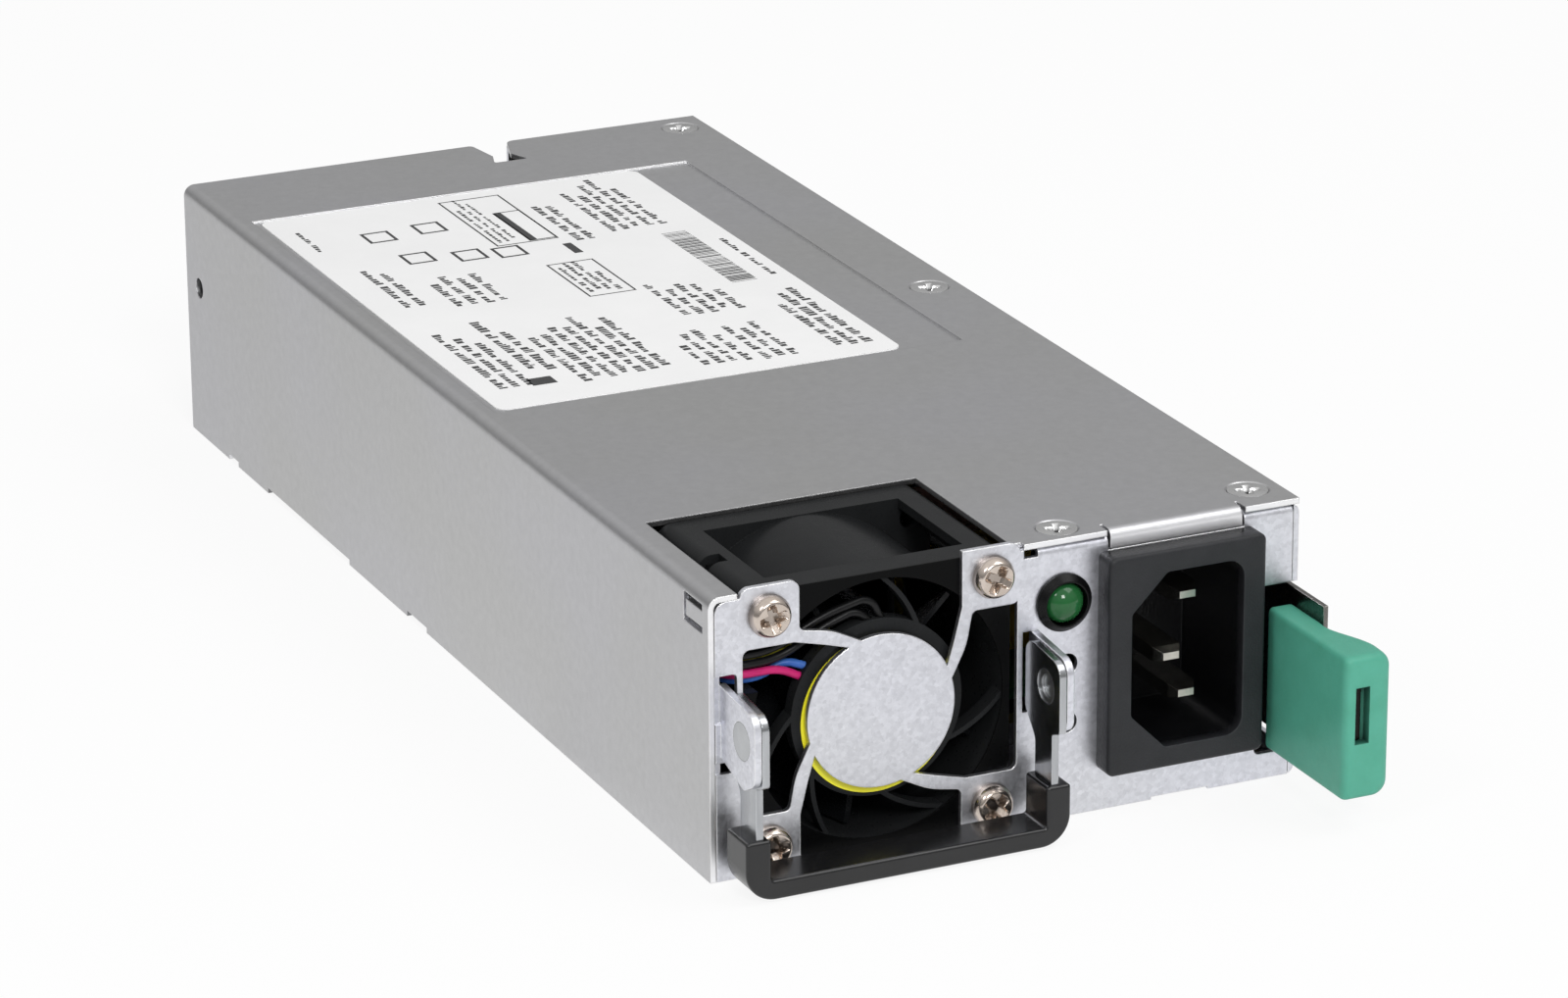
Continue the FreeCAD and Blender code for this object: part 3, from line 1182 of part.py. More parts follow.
def power_leads():
    """Line and neutral leads to the main board and the earth lead to its terminal on the floor."""
    line, neutral, earth = pin_places()
    start = behind(PIN_TAG_END - 3)
    end = behind(BOARD_FRONT + 3)
    rise = POWER_LEAD / 2 + TAG_THICK / 2
    line_x = line[0] + 1.0
    neutral_x = neutral[0] - 2.2
    line_points = [
        V(line[0], start, line[1] + rise), V(line[0], start + LEAD_STRAIGHT[0], line[1] + rise),
        V(line_x, end, BOARD_TOP + 10), V(line_x, end, BOARD_TOP),
    ]
    neutral_points = [
        V(neutral[0], start, neutral[1] + rise), V(neutral[0], start + LEAD_STRAIGHT[1], neutral[1] + rise),
        V(neutral_x, end, BOARD_TOP + 5.4), V(neutral_x, end, BOARD_TOP),
    ]
    low = SHEET + POWER_LEAD / 2 + SEAM / 2
    stud_y = behind(EARTH_STUD_DEPTH)
    earth_points = [
        V(earth[0], start, earth[1] + rise), V(earth[0], start + LEAD_STRAIGHT[2], earth[1] + rise),
        V(earth[0], stud_y, low), V(FAN_RIGHT + EARTH_STUD_SIDE + EARTH_BARREL, stud_y, low),
    ]
    return [lead(points, POWER_LEAD) for points in (line_points, neutral_points, earth_points)]


def earth_terminal():
    """Ring terminal, nut and stud that bond the earth lead to the tray."""
    x = FAN_RIGHT + EARTH_STUD_SIDE
    y = behind(EARTH_STUD_DEPTH)
    stud = rod(EARTH_STUD[0], V(x, y, SHEET), V(x, y, SHEET + EARTH_STUD[1]))
    ring = rod(EARTH_RING[0], V(x, y, SHEET), V(x, y, SHEET + EARTH_RING[1]))
    low = SHEET + EARTH_RING[1]
    nut = plate(hexagon(x, y, EARTH_NUT[0], 0), "z", low, low + EARTH_NUT[1])
    half = POWER_LEAD / 2 + 0.3
    barrel = box(x + 2, x + EARTH_BARREL, y - half, y + half, SHEET, SHEET + 2 * half)
    return fuse(stud, ring, nut, barrel)


# ---------------------------------------------------------------- handle
def arm(side):
    """Flat side arm of the bail, with a wide head at the pivot."""
    corners = (
        (behind(-HEAD_REAR), HEAD_TOP, 2.2), (behind(-HEAD_FORWARD), HEAD_TOP - 1.0, 2.2),
        (behind(-HEAD_FORWARD), HEAD_BOTTOM, 0.8), (behind(-ARM_FRONT), HEAD_BOTTOM - 0.7, 0.6),
        (behind(-ARM_FRONT), GRIP_BOTTOM + GRIP_BAR / 2 - HANDLE_SHEET / 2, 0),
        (behind(-ARM_REAR), GRIP_BOTTOM + GRIP_BAR / 2 - HANDLE_SHEET / 2, 0),
        (behind(-ARM_REAR), HEAD_BOTTOM - 2.8, 2.0), (behind(-HEAD_REAR), HEAD_BOTTOM + 0.6, 1.5),
    )
    x0 = FAN_X + side * (ARM_OUTER - HANDLE_SHEET)
    x1 = FAN_X + side * ARM_OUTER
    flat = plate(corners, "x", min(x0, x1), max(x0, x1))
    hole = rod(RIVET_SHANK + PIVOT_PLAY, V(x0 - 3, PIVOT_Y, PIVOT_Z), V(x0 + 3, PIVOT_Y, PIVOT_Z))
    return flat.cut(hole)


def handle_bail():
    """Steel strap: two arms joined by a cross strip inside the grip."""
    middle = GRIP_BOTTOM + GRIP_BAR / 2
    cross = box(FAN_X - ARM_OUTER, FAN_X + ARM_OUTER, behind(-ARM_FRONT), behind(-ARM_REAR),
                middle - HANDLE_SHEET / 2, middle + HANDLE_SHEET / 2)
    return fuse(arm(-1), arm(1), cross)


def handle_grip():
    """Moulded U-shaped grip over the foot of the bail."""
    w = GRIP_OUTER
    inner = GRIP_OUTER - GRIP_LEG
    bar_top = GRIP_BOTTOM + GRIP_BAR
    points = (
        (-w, GRIP_BOTTOM, GRIP_CORNER), (w, GRIP_BOTTOM, GRIP_CORNER), (w, GRIP_LEG_TOP, 0),
        (inner, GRIP_LEG_TOP, 0), (inner, bar_top, 0.5), (-inner, bar_top, 0.5),
        (-inner, GRIP_LEG_TOP, 0), (-w, GRIP_LEG_TOP, 0),
    )
    grip = plate([(FAN_X + a, b, r) for a, b, r in points], "y", behind(-GRIP_FRONT), behind(-GRIP_REAR))
    edges = rim(grip, "y", behind(-GRIP_FRONT)) + rim(grip, "y", behind(-GRIP_REAR))
    edges += rim(grip, "z", GRIP_LEG_TOP)
    unique = []
    for edge in edges:
        if not any(edge.isSame(other) for other in unique):
            unique.append(edge)
    grip = grip.makeFillet(GRIP_EDGE, unique)
    return grip.cut(handle_bail())


def handle_rivets():
    """Two flush shoulder rivets: wide part fixed in the ear, narrow part turning in the arm."""
    rivets = []
    for side in (-1, 1):
        outside = FAN_X + side * (EAR_INNER + HANDLE_SHEET)
        shoulder = FAN_X + side * EAR_INNER
        inside = FAN_X + side * (ARM_OUTER - HANDLE_SHEET + 0.15)
        wide = rod(RIVET_HEAD, V(outside, PIVOT_Y, PIVOT_Z), V(shoulder, PIVOT_Y, PIVOT_Z))
        narrow = rod(RIVET_SHANK, V(shoulder, PIVOT_Y, PIVOT_Z), V(inside, PIVOT_Y, PIVOT_Z))
        dimple = rod(1.6, V(inside, PIVOT_Y, PIVOT_Z), V(inside + side * 0.4, PIVOT_Y, PIVOT_Z))
        rivets.append(fuse(wide, narrow).cut(dimple))
    return rivets


# ---------------------------------------------------------------- latch
def latch_tongue(play):
    """Narrow end of the spring that is moulded into the tab."""
    corners = (
        (PLATE_X, behind(-LATCH_PLATE_END + 0.5), 0),
        (PLATE_X + LATCH_SHEET, behind(-LATCH_PLATE_END + 0.5), 0),
        (PLATE_X + LATCH_SHEET, behind(-LATCH_PLATE_END), 0), (TONGUE_X + LATCH_SHEET, behind(-TONGUE_BEND), 0),
        (TONGUE_X + LATCH_SHEET, behind(-TAB_FRONT + 1.2), 0), (TONGUE_X, behind(-TAB_FRONT + 1.2), 0),
        (TONGUE_X, behind(-TONGUE_BEND), 0), (PLATE_X, behind(-LATCH_PLATE_END), 0),
    )
    return plate(corners, "z", TONGUE[0] - play, TONGUE[1] + play)


def latch_spring():
    """Leaf spring: riveted foot, long leaf, wide plate with the catch tooth, and tongue."""
    jog_front, jog_rear = LATCH_JOG
    foot = behind(LATCH_HINGE_DEPTH + LATCH_FOOT)
    leaf = plate((
        (LEAF_X, foot, 0), (LEAF_X, behind(jog_rear), 0), (PLATE_X, behind(jog_front), 0),
        (PLATE_X, behind(jog_front - 1), 0), (PLATE_X + LATCH_SHEET, behind(jog_front - 1), 0),
        (PLATE_X + LATCH_SHEET, behind(jog_front), 0), (LEAF_X + LATCH_SHEET, behind(jog_rear), 0),
        (LEAF_X + LATCH_SHEET, foot, 0),
    ), "z", LEAF[0], LEAF[1])
    wide = box(PLATE_X, PLATE_X + LATCH_SHEET, behind(-LATCH_PLATE_END), behind(jog_front - 0.5),
               LATCH_PLATE[0], LATCH_PLATE[1])
    front, rear, low, high = TOOTH
    face = PLATE_X + LATCH_SHEET
    tooth = plate((
        (face - 0.2, behind(front), 0), (RIGHT + TOOTH_DEPTH, behind(front), 0.3),
        (face - 0.2, behind(rear), 0),
    ), "z", low, high)
    spring = fuse(leaf, wide, tooth, latch_tongue(0))
    holes = []
    for z in LATCH_RIVET_HEIGHTS:
        y = behind(LATCH_HINGE_DEPTH)
        holes.append(rod(LATCH_RIVET_RADIUS + LATCH_RIVET_PLAY, V(LEAF_X - 2, y, z), V(RIGHT + 1, y, z)))
    return spring.cut(holes)


def latch_rivets():
    """Two flush rivets that hold the spring's foot to the right wall."""
    rivets = []
    head_x = LEAF_X - LATCH_RIVET_PLAY / 2
    for z in LATCH_RIVET_HEIGHTS:
        y = behind(LATCH_HINGE_DEPTH)
        shank = rod(LATCH_RIVET_RADIUS, V(head_x, y, z), V(RIGHT, y, z))
        head = rod(LATCH_RIVET_HEAD, V(head_x - LATCH_RIVET_HEAD_HEIGHT, y, z), V(head_x, y, z))
        rivets.append(fuse(shank, head))
    return rivets


def latch_tab():
    """Green thumb tab, hollowed for the thumb on its outer side, moulded on the spring's tongue."""
    bulge = RIGHT + TAB_BULGE
    waist = RIGHT - TAB_WAIST
    corners = (
        (TAB_LEFT, behind(-TAB_START), 0.8), (TAB_LEFT, behind(-TAB_FRONT), 0.6),
        (bulge - 0.3, behind(-TAB_FRONT), 1.4), (bulge, behind(-TAB_FRONT + 4.6), 1.6),
        (waist, behind(-TAB_SCOOP[0]), TAB_SCOOP[1]), (waist, behind(-TAB_START), 0.6),
    )
    tab = plate(corners, "z", TAB_LOW, TAB_HIGH)
    tab = tab.makeFillet(TAB_EDGE, rim(tab, "z", TAB_LOW) + rim(tab, "z", TAB_HIGH))
    face = (
        (TAB_LEFT - 1, TAB_LOW, 0), (bulge, TAB_LOW, TAB_ROUND),
        (bulge, TAB_HIGH, TAB_ROUND), (TAB_LEFT - 1, TAB_HIGH, 0),
    )
    tab = tab.common(plate(face, "y", behind(-TAB_FRONT - 1), FRONT + 1))
    side, end, depth = TAB_SLOT
    slot = box(TONGUE_X - side, TONGUE_X + LATCH_SHEET + side,
               behind(-TAB_FRONT - 1), behind(depth - TAB_FRONT), TONGUE[0] - end, TONGUE[1] + end)
    spring = box(PLATE_X, bulge + 1, behind(-LATCH_PLATE_END), FRONT, 0, CASE_HEIGHT)
    return tab.cut([slot, latch_tongue(0), spring])


# ---------------------------------------------------------------- boards
def main_board():
    """Main circuit board with its card edge tongue at the rear."""
    rear = ahead_of_rear(BOARD_REAR_GAP + SHEET)
    body = box(BOARD_LEFT, BOARD_RIGHT, behind(BOARD_FRONT), rear, BOARD_BOTTOM, BOARD_TOP)
    half = TONGUE_WIDTH / 2
    end = BACK + TONGUE_LENGTH
    gap = TONGUE_GAP / 2
    c = TONGUE_CHAMFER
    edge = plate((
        (rear - 1, BOARD_BOTTOM, 0), (end - 2 * c, BOARD_BOTTOM, 0), (end, BOARD_BOTTOM + c, 0),
        (end, BOARD_TOP - c, 0), (end - 2 * c, BOARD_TOP, 0), (rear - 1, BOARD_TOP, 0),
    ), "x", -half, half)
    tools = [box(TONGUE_KEY - gap, TONGUE_KEY + gap, BACK + 0.5, end + 1, 0, CASE_HEIGHT)]
    for x, y in STANDOFF_SPOTS:
        tools.append(rod(M3_RADIUS + 0.1, V(x, y, 0), V(x, y, CASE_HEIGHT)))
    return cut_all(fuse(body, edge), tools)


def edge_contacts():
    """Gilt contact strips on both faces of the tongue."""
    contacts = []
    y0 = BACK + 1.0
    y1 = BACK + TONGUE_LENGTH - 2 * TONGUE_CHAMFER - 0.2
    w = CONTACT_WIDTH / 2
    for k in range(CONTACT_COUNT):
        x = (k - (CONTACT_COUNT - 1) / 2) * CONTACT_PITCH
        if abs(x - TONGUE_KEY) < w + TONGUE_GAP / 2:
            continue
        contacts.append(box(x - w, x + w, y0, y1, BOARD_TOP, BOARD_TOP + CONTACT_THICK))
        contacts.append(box(x - w, x + w, y0, y1, BOARD_BOTTOM - CONTACT_THICK, BOARD_BOTTOM))
    return contacts


def insulator_sheet():
    """Plastic film between the board and the floor, pierced for the standoffs."""
    sheet = box(BOARD_LEFT + 0.3, BOARD_RIGHT, behind(BOARD_FRONT), ahead_of_rear(2.0),
                SHEET, SHEET + FILM_THICK)
    return sheet.cut([rod(STANDOFF_RADIUS + 0.3, V(x, y, 0), V(x, y, BOARD_TOP)) for x, y in STANDOFF_SPOTS])


def board_standoffs():
    """Spacers pressed into the floor."""
    return [
        tube(STANDOFF_RADIUS, STANDOFF_BORE, V(x, y, SHEET), V(x, y, BOARD_BOTTOM))
        for x, y in STANDOFF_SPOTS
    ]


def board_screws():
    """Pan head screws through the board into the spacers."""
    screws = []
    radius, height = BOARD_SCREW_HEAD
    for x, y in STANDOFF_SPOTS:
        head = rod(radius, V(x, y, BOARD_TOP), V(x, y, BOARD_TOP + height))
        screws.append(fuse(head, rod(STANDOFF_BORE, V(x, y, SHEET + 0.2), V(x, y, BOARD_TOP))))
    return screws


# ---------------------------------------------------------------- power parts on the board
def standing(x0, y0, size, radius=0.6):
    """Moulded block on the board from its left front corner and its width, length and height."""
    width, length, height = size
    return rounded_box(x0, x0 + width, y0, y0 + length, BOARD_TOP, BOARD_TOP + height, "z", radius)


def x_capacitors():
    """Two box film capacitors across the mains."""
    return [standing(SINK_X + X_CAPACITOR_SIDE, behind(depth), X_CAPACITOR) for depth in X_CAPACITOR_DEPTHS]


def wound_ring(x, y, size):
    """Flat ring core and its two half windings, as (core, windings)."""
    outer, inner, height = size
    w = WINDING_WALL
    low = BOARD_TOP
    high = BOARD_TOP + height
    core = tube(outer - w, inner + w, V(x, y, low + w), V(x, y, high - w))
    coil = tube(outer, inner, V(x, y, low), V(x, y, high)).cut(core)
    halves = []
    for x0, x1 in ((x - outer - 1, x - WINDING_GAP), (x + WINDING_GAP, x + outer + 1)):
        halves.append(coil.common(box(x0, x1, y - outer - 1, y + outer + 1, low - 1, high + 1)))
    return core, halves


def emi_choke():
    """Common-mode choke behind the inlet."""
    return wound_ring(SINK_X + EMI_CHOKE_SIDE, behind(EMI_CHOKE_DEPTH), EMI_CHOKE)


def pfc_choke():
    """Boost inductor on a larger ring core."""
    return wound_ring(SINK_X + PFC_CHOKE_SIDE, ahead_of_rear(PFC_CHOKE_INSET), PFC_CHOKE)


def fuse_point(along):
    """Place on the fuse's axis, so far behind its front end."""
    return V(BOARD_RIGHT - FUSE_SIDE, behind(FUSE_DEPTH + along), BOARD_TOP + FUSE_RISE)


def mains_fuse():
    """Glass fuse with end caps."""
    radius, length = FUSE_CAP
    glass = rod(FUSE_RADIUS, fuse_point(length / 2), fuse_point(FUSE_LENGTH - length / 2))
    front = rod(radius, fuse_point(0), fuse_point(length))
    return fuse(glass, front, rod(radius, fuse_point(FUSE_LENGTH - length), fuse_point(FUSE_LENGTH)))


def fuse_clips():
    """Two spring clips that hold the fuse over the board."""
    clips = []
    width, length = FUSE_CLIP
    for along in (1.0, FUSE_LENGTH - 1.0 - length):
        middle = fuse_point(along)
        block = box(middle.x - width / 2, middle.x + width / 2, middle.y, middle.y + length,
                    BOARD_TOP, middle.z)
        clips.append(block.cut(rod(FUSE_CAP[0], fuse_point(-1), fuse_point(FUSE_LENGTH + 1))))
    return clips


def inrush_relay():
    """Sealed relay that bridges the inrush limiter."""
    return standing(SINK_X + RELAY_SIDE, behind(RELAY_DEPTH), RELAY)


def bulk_capacitor():
    """Large electrolytic capacitor lying along the case, with its crimp groove."""
    x = BOARD_LEFT + BULK_SIDE
    z = BOARD_TOP + BULK_RADIUS
    end = behind(BULK_DEPTH + BULK_LENGTH)
    can = rod(BULK_RADIUS, V(x, behind(BULK_DEPTH), z), V(x, end, z))
    can = can.makeChamfer(BULK_EDGE, rim(can, "y", end))
    along, width, depth = BULK_GROOVE
    start = behind(BULK_DEPTH + along)
    return can.cut(tube(BULK_RADIUS + 1, BULK_RADIUS - depth, V(x, start, z), V(x, start + width, z)))


def bridge_rectifier():
    """Flat bridge rectifier screwed to the heatsink."""
    width, length, height = BRIDGE
    y0 = behind(BRIDGE_DEPTH)
    return box(SINK_X - width, SINK_X, y0, y0 + length, BOARD_TOP, BOARD_TOP + height)


def primary_heatsink():
    """Extruded aluminium sink: upright back with fins to one side."""
    reach, thick = FIN
    low = BOARD_TOP
    high = BOARD_TOP + SINK_HEIGHT
    back = SINK_X + SINK_BACK
    points = [(SINK_X, low), (SINK_X, high)]
    for k in range(FIN_COUNT):
        top = high - FIN_PITCH * k
        points += [(back, top)] if k else []
        points += [(back + reach, top), (back + reach, top - thick), (back, top - thick)]
    points += [(back, low)]
    y0 = behind(SINK_DEPTH)
    return plate([(a, b, 0) for a, b in points], "y", y0, y0 + SINK_LENGTH)


def power_transistors():
    """Flat power transistors along the heatsink's back, with their legs."""
    parts = []
    width, length, height = TRANSISTOR
    thick, breadth, pitch = TRANSISTOR_LEG
    low = BOARD_TOP + TRANSISTOR_RISE
    middle = SINK_X - width / 2
    for depth in TRANSISTOR_DEPTHS:
        y0 = behind(depth)
        body = box(SINK_X - width, SINK_X, y0, y0 + length, low, low + height)
        legs = []
        for i in (-1, 0, 1):
            y = y0 + length / 2 + pitch * i
            legs.append(box(middle - thick / 2, middle + thick / 2, y - breadth / 2, y + breadth / 2,
                            BOARD_TOP, low))
        parts.append(fuse(body, *legs))
    return parts


def transformer_core():
    """Two ferrite halves clamped as a closed frame round the winding."""
    width, length, height = TRANSFORMER
    x0 = BOARD_LEFT + TRANSFORMER_SIDE
    y0 = behind(TRANSFORMER_DEPTH)
    top = BOARD_TOP + height
    outer = box(x0, x0 + width, y0 + CORE_INSET, y0 + length - CORE_INSET, BOARD_TOP, top)
    window = box(x0 + CORE_LEG, x0 + width - CORE_LEG, y0, y0 + length,
                 BOARD_TOP + CORE_YOKE, top - CORE_YOKE)
    x = x0 + width / 2
    y = y0 + length / 2
    post = rod(CORE_POST, V(x, y, BOARD_TOP + CORE_YOKE / 2), V(x, y, top - CORE_YOKE / 2))
    return fuse(outer.cut(window), post)


def transformer_winding():
    """Wound bobbin round the middle leg."""
    width, length, height = TRANSFORMER
    play = WINDING_PLAY
    x = BOARD_LEFT + TRANSFORMER_SIDE + width / 2
    y = behind(TRANSFORMER_DEPTH) + length / 2
    half = width / 2 - CORE_LEG - play
    low = BOARD_TOP + CORE_YOKE + play
    high = BOARD_TOP + height - CORE_YOKE - play
    body = rod(length / 2, V(x, y, low), V(x, y, high))
    body = body.common(box(x - half, x + half, y - length, y + length, low, high))
    return body.cut(rod(CORE_POST + play, V(x, y, 0), V(x, y, CASE_HEIGHT)))


def output_inductor():
    """Flat output choke."""
    return standing(BOARD_LEFT + TRANSFORMER_SIDE, ahead_of_rear(INDUCTOR_INSET), INDUCTOR, 1.5)


def output_busbars():
    """Two copper bars that carry the output to the card edge."""
    bars = []
    thick, height = BUSBAR
    for side in BUSBAR_SIDES:
        x = BOARD_LEFT + side
        y0 = behind(BUSBAR_DEPTH)
        bars.append(box(x, x + thick, y0, ahead_of_rear(BUSBAR_INSET), BOARD_TOP, BOARD_TOP + height))
    return bars


def output_capacitors():
    """Two rows of solid polymer capacitors."""
    cans = []
    radius, height = OUTPUT_CAN
    for inset in OUTPUT_CAN_INSETS:
        for column in range(OUTPUT_CAN_COLUMNS):
            x = BOARD_LEFT + OUTPUT_CAN_SIDE + OUTPUT_CAN_PITCH * column
            y = ahead_of_rear(inset)
            cans.append(rod(radius, V(x, y, BOARD_TOP), V(x, y, BOARD_TOP + height)))
    return cans


def control_board():
    """Upright control board plugged into the main board."""
    thick, length, height = CONTROL_BOARD
    x = BOARD_LEFT + CONTROL_BOARD_SIDE
    y0 = ahead_of_rear(CONTROL_BOARD_INSET)
    return box(x, x + thick, y0, y0 + length, BOARD_TOP, BOARD_TOP + height)


def control_chips():
    """Controller chips on the upright board."""
    chips = []
    x = BOARD_LEFT + CONTROL_BOARD_SIDE + CONTROL_BOARD[0]
    for along, low, size in CHIPS:
        y0 = ahead_of_rear(CONTROL_BOARD_INSET) + along
        z0 = BOARD_TOP + low
        chips.append(box(x, x + CHIP_THICK, y0, y0 + size, z0, z0 + size))
    return chips


# ---------------------------------------------------------------- build and write
def build():
    """Every node by name; a list is a group of separate solids."""
    emi_core, emi_windings = emi_choke()
    pfc_core, pfc_windings = pfc_choke()
    line, neutral, earth = power_leads()
    nodes = {
        "base_tray": base_tray(),
        "top_cover": top_cover(),
        "front_panel": front_panel(),
        "rating_label": rating_label(),
        "cover_screws": cover_screws(),
        "fan_screws": fan_screws(),
        "fan_frame": fan_frame(),
        "fan_label": fan_label(),
        "fan_circuit_board": fan_circuit_board(),
        "stator_core": stator_core(),
        "stator_coils": stator_coils(),
        "fan_bearings": fan_bearings(),
        "fan_rotor": fan_rotor(),
        "rotor_magnet": rotor_magnet(),
        "rotor_shaft": rotor_shaft(),
        "fan_plug": fan_plug(),
        "led_bezel": led_bezel(),
        "status_led": status_led(),
        "led_leads": led_leads(),
        "led_plug": led_plug(),
        "inlet_body": inlet_body(),
        "inlet_pins": inlet_pins(),
        "line_lead": line,
        "neutral_lead": neutral,
        "earth_lead": earth,
        "earth_terminal": earth_terminal(),
        "handle_bail": handle_bail(),
        "handle_grip": handle_grip(),
        "handle_rivets": handle_rivets(),
        "latch_spring": latch_spring(),
        "latch_tab": latch_tab(),
        "latch_rivets": latch_rivets(),
        "main_board": main_board(),
        "edge_contacts": edge_contacts(),
        "insulator_sheet": insulator_sheet(),
        "board_standoffs": board_standoffs(),
        "board_screws": board_screws(),
        "x_capacitors": x_capacitors(),
        "emi_choke_core": emi_core,
        "emi_choke_winding": emi_windings,
        "pfc_choke_core": pfc_core,
        "pfc_choke_winding": pfc_windings,
        "mains_fuse": mains_fuse(),
        "fuse_clips": fuse_clips(),
        "inrush_relay": inrush_relay(),
        "bulk_capacitor": bulk_capacitor(),
        "bridge_rectifier": bridge_rectifier(),
        "primary_heatsink": primary_heatsink(),
        "power_transistors": power_transistors(),
        "transformer_core": transformer_core(),
        "transformer_winding": transformer_winding(),
        "output_inductor": output_inductor(),
        "output_busbars": output_busbars(),
        "output_capacitors": output_capacitors(),
        "control_board": control_board(),
        "control_chips": control_chips(),
    }
    for name, routes in FAN_LEADS.items():
        nodes[name] = [lead(fan_lead_points(route), LEAD_DIAMETER) for route in routes]
    return nodes


def write(nodes):
    """Write one STEP file a node and print each node's solids."""
    os.makedirs("parts", exist_ok=True)
    for name, shape in nodes.items():
        solids = shape if isinstance(shape, list) else shape.Solids
        group = solids[0] if len(solids) == 1 else Part.makeCompound(solids)
        group.exportStep("parts/" + name + ".step")
        size = group.BoundBox
        sides = (size.XMin, size.XMax, size.YMin, size.YMax, size.ZMin, size.ZMax)
        print(name, len(group.Solids), "valid" if group.isValid() else "NOT VALID", round(group.Volume, 1),
              [round(value, 2) for value in sides])


write(build())
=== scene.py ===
# %% [markdown]
# # A hot swap server power supply
# The unit is a long sheet-metal case with a fan, a mains inlet, a bail handle and a spring latch at one end.
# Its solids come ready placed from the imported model, so this lesson gives them their finishes, and adds the
# pieces that are too fine for the solids: cross-recessed screw heads, the domed light and the label's print.

# %% Load the model
import math
import bmesh
import bpy
import numpy as np
from mathutils import Matrix, Vector


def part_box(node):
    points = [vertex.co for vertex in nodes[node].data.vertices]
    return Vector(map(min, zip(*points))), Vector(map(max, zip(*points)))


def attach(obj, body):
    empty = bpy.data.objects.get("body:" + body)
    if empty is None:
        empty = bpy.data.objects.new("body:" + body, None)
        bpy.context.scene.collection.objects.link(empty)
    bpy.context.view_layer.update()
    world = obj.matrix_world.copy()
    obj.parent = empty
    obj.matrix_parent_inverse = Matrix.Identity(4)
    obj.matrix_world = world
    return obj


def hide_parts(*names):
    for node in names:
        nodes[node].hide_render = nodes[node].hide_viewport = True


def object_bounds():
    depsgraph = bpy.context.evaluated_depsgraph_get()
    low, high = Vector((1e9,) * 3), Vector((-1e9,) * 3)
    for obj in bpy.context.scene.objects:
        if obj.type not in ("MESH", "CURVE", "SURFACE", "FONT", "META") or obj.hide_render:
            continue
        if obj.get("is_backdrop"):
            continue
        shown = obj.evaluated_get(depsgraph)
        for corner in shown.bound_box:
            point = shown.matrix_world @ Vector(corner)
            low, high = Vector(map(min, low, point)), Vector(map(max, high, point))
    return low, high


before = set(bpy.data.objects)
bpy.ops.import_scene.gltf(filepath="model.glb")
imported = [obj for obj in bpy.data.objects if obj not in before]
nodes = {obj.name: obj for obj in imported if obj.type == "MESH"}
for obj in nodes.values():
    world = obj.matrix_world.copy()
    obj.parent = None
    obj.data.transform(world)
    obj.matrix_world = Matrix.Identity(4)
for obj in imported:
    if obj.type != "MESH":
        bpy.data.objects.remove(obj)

cad_low, cad_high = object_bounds()
scene = bpy.context.scene
MM = 0.001
print(len(nodes), "nodes; size in mm", [round((b - a) / MM, 1) for a, b in zip(cad_low, cad_high)])

# %% [markdown]
# ## The camera
# A product view is taken from far away with a long lens, which keeps the case's long edges nearly parallel.
# The camera is placed by two angles and a distance from a point inside the case, and is rolled a little.

# %% Camera
AZIMUTH = math.radians(-24.82)
ELEVATION = math.radians(20.16)
ROLL = math.radians(-0.33)
TARGET = Vector((11.7, -3.25, 12.8)) * MM
DISTANCE = 896 * MM
LENS = 141.8          # mm, on a sensor 36 mm wide

camera = bpy.data.objects.new("camera", bpy.data.cameras.new("camera"))
scene.collection.objects.link(camera)
scene.camera = camera
camera.data.lens = LENS
camera.data.sensor_width = 36.0
camera.data.clip_start = 0.01
back = Vector((math.sin(AZIMUTH) * math.cos(ELEVATION), -math.cos(AZIMUTH) * math.cos(ELEVATION),
               math.sin(ELEVATION)))
camera.location = TARGET + back * DISTANCE
camera.rotation_mode = "QUATERNION"
camera.rotation_quaternion = (-back).to_track_quat("-Z", "Y") @ Matrix.Rotation(ROLL, 4, "Z").to_quaternion()
print("camera at", [round(v, 3) for v in camera.location])


# %% [markdown]
# ## Tools for the finishes
# Colours are written as sRGB hex values, as a paint chart gives them, and one function turns them linear.
# A second small function adds a shader node, sets its values and links it, so a finish reads as a short list.

# %% Colour and node helpers
def linear(code):
    """Linear RGBA from an sRGB hex colour: a channel plus 0.055, over 1.055, is raised to 2.4, and a dark one
    is divided by 12.92."""
    channels = [int(code[i:i + 2], 16) / 255 for i in (1, 3, 5)]
    return [c / 12.92 if c <= 0.04045 else ((c + 0.055) / 1.055) ** 2.4 for c in channels] + [1.0]


def add(tree, kind, values=(), **settings):
    """Add a shader node; values maps its inputs to numbers or to other nodes' outputs."""
    made = tree.nodes.new("ShaderNode" + kind)
    for name, value in settings.items():
        setattr(made, name, value)
    for name, value in dict(values).items():
        socket = made.inputs[name]
        if isinstance(value, bpy.types.NodeSocket):
            tree.links.new(value, socket)
        else:
            socket.default_value = value
    return made


# %% [markdown]
# ## A plain finish
# Real surfaces aren't one flat colour: they drift in tone over millimetres, and a fine grain from the mould,
# the brush or the rolling breaks up their gloss. Both are noises whose size is given in mm. The Bevel node
# shades sharp corners as if they were rounded, so a corner catches the light as a rounded one does, and the
# colour on a corner can be raised as a painted highlight, or lowered as painted shade.

# %% Plain finish
NOISE_LOW, NOISE_HIGH = 0.3, 0.7       # a noise seldom leaves this range, so ramps run over it
ROUGH_SPREAD = 0.12                    # share by which the grain changes the roughness
CORNER_START, CORNER_FULL = 0.98, 0.8  # the painted corner light starts and is full at these cosines of rounded to true face
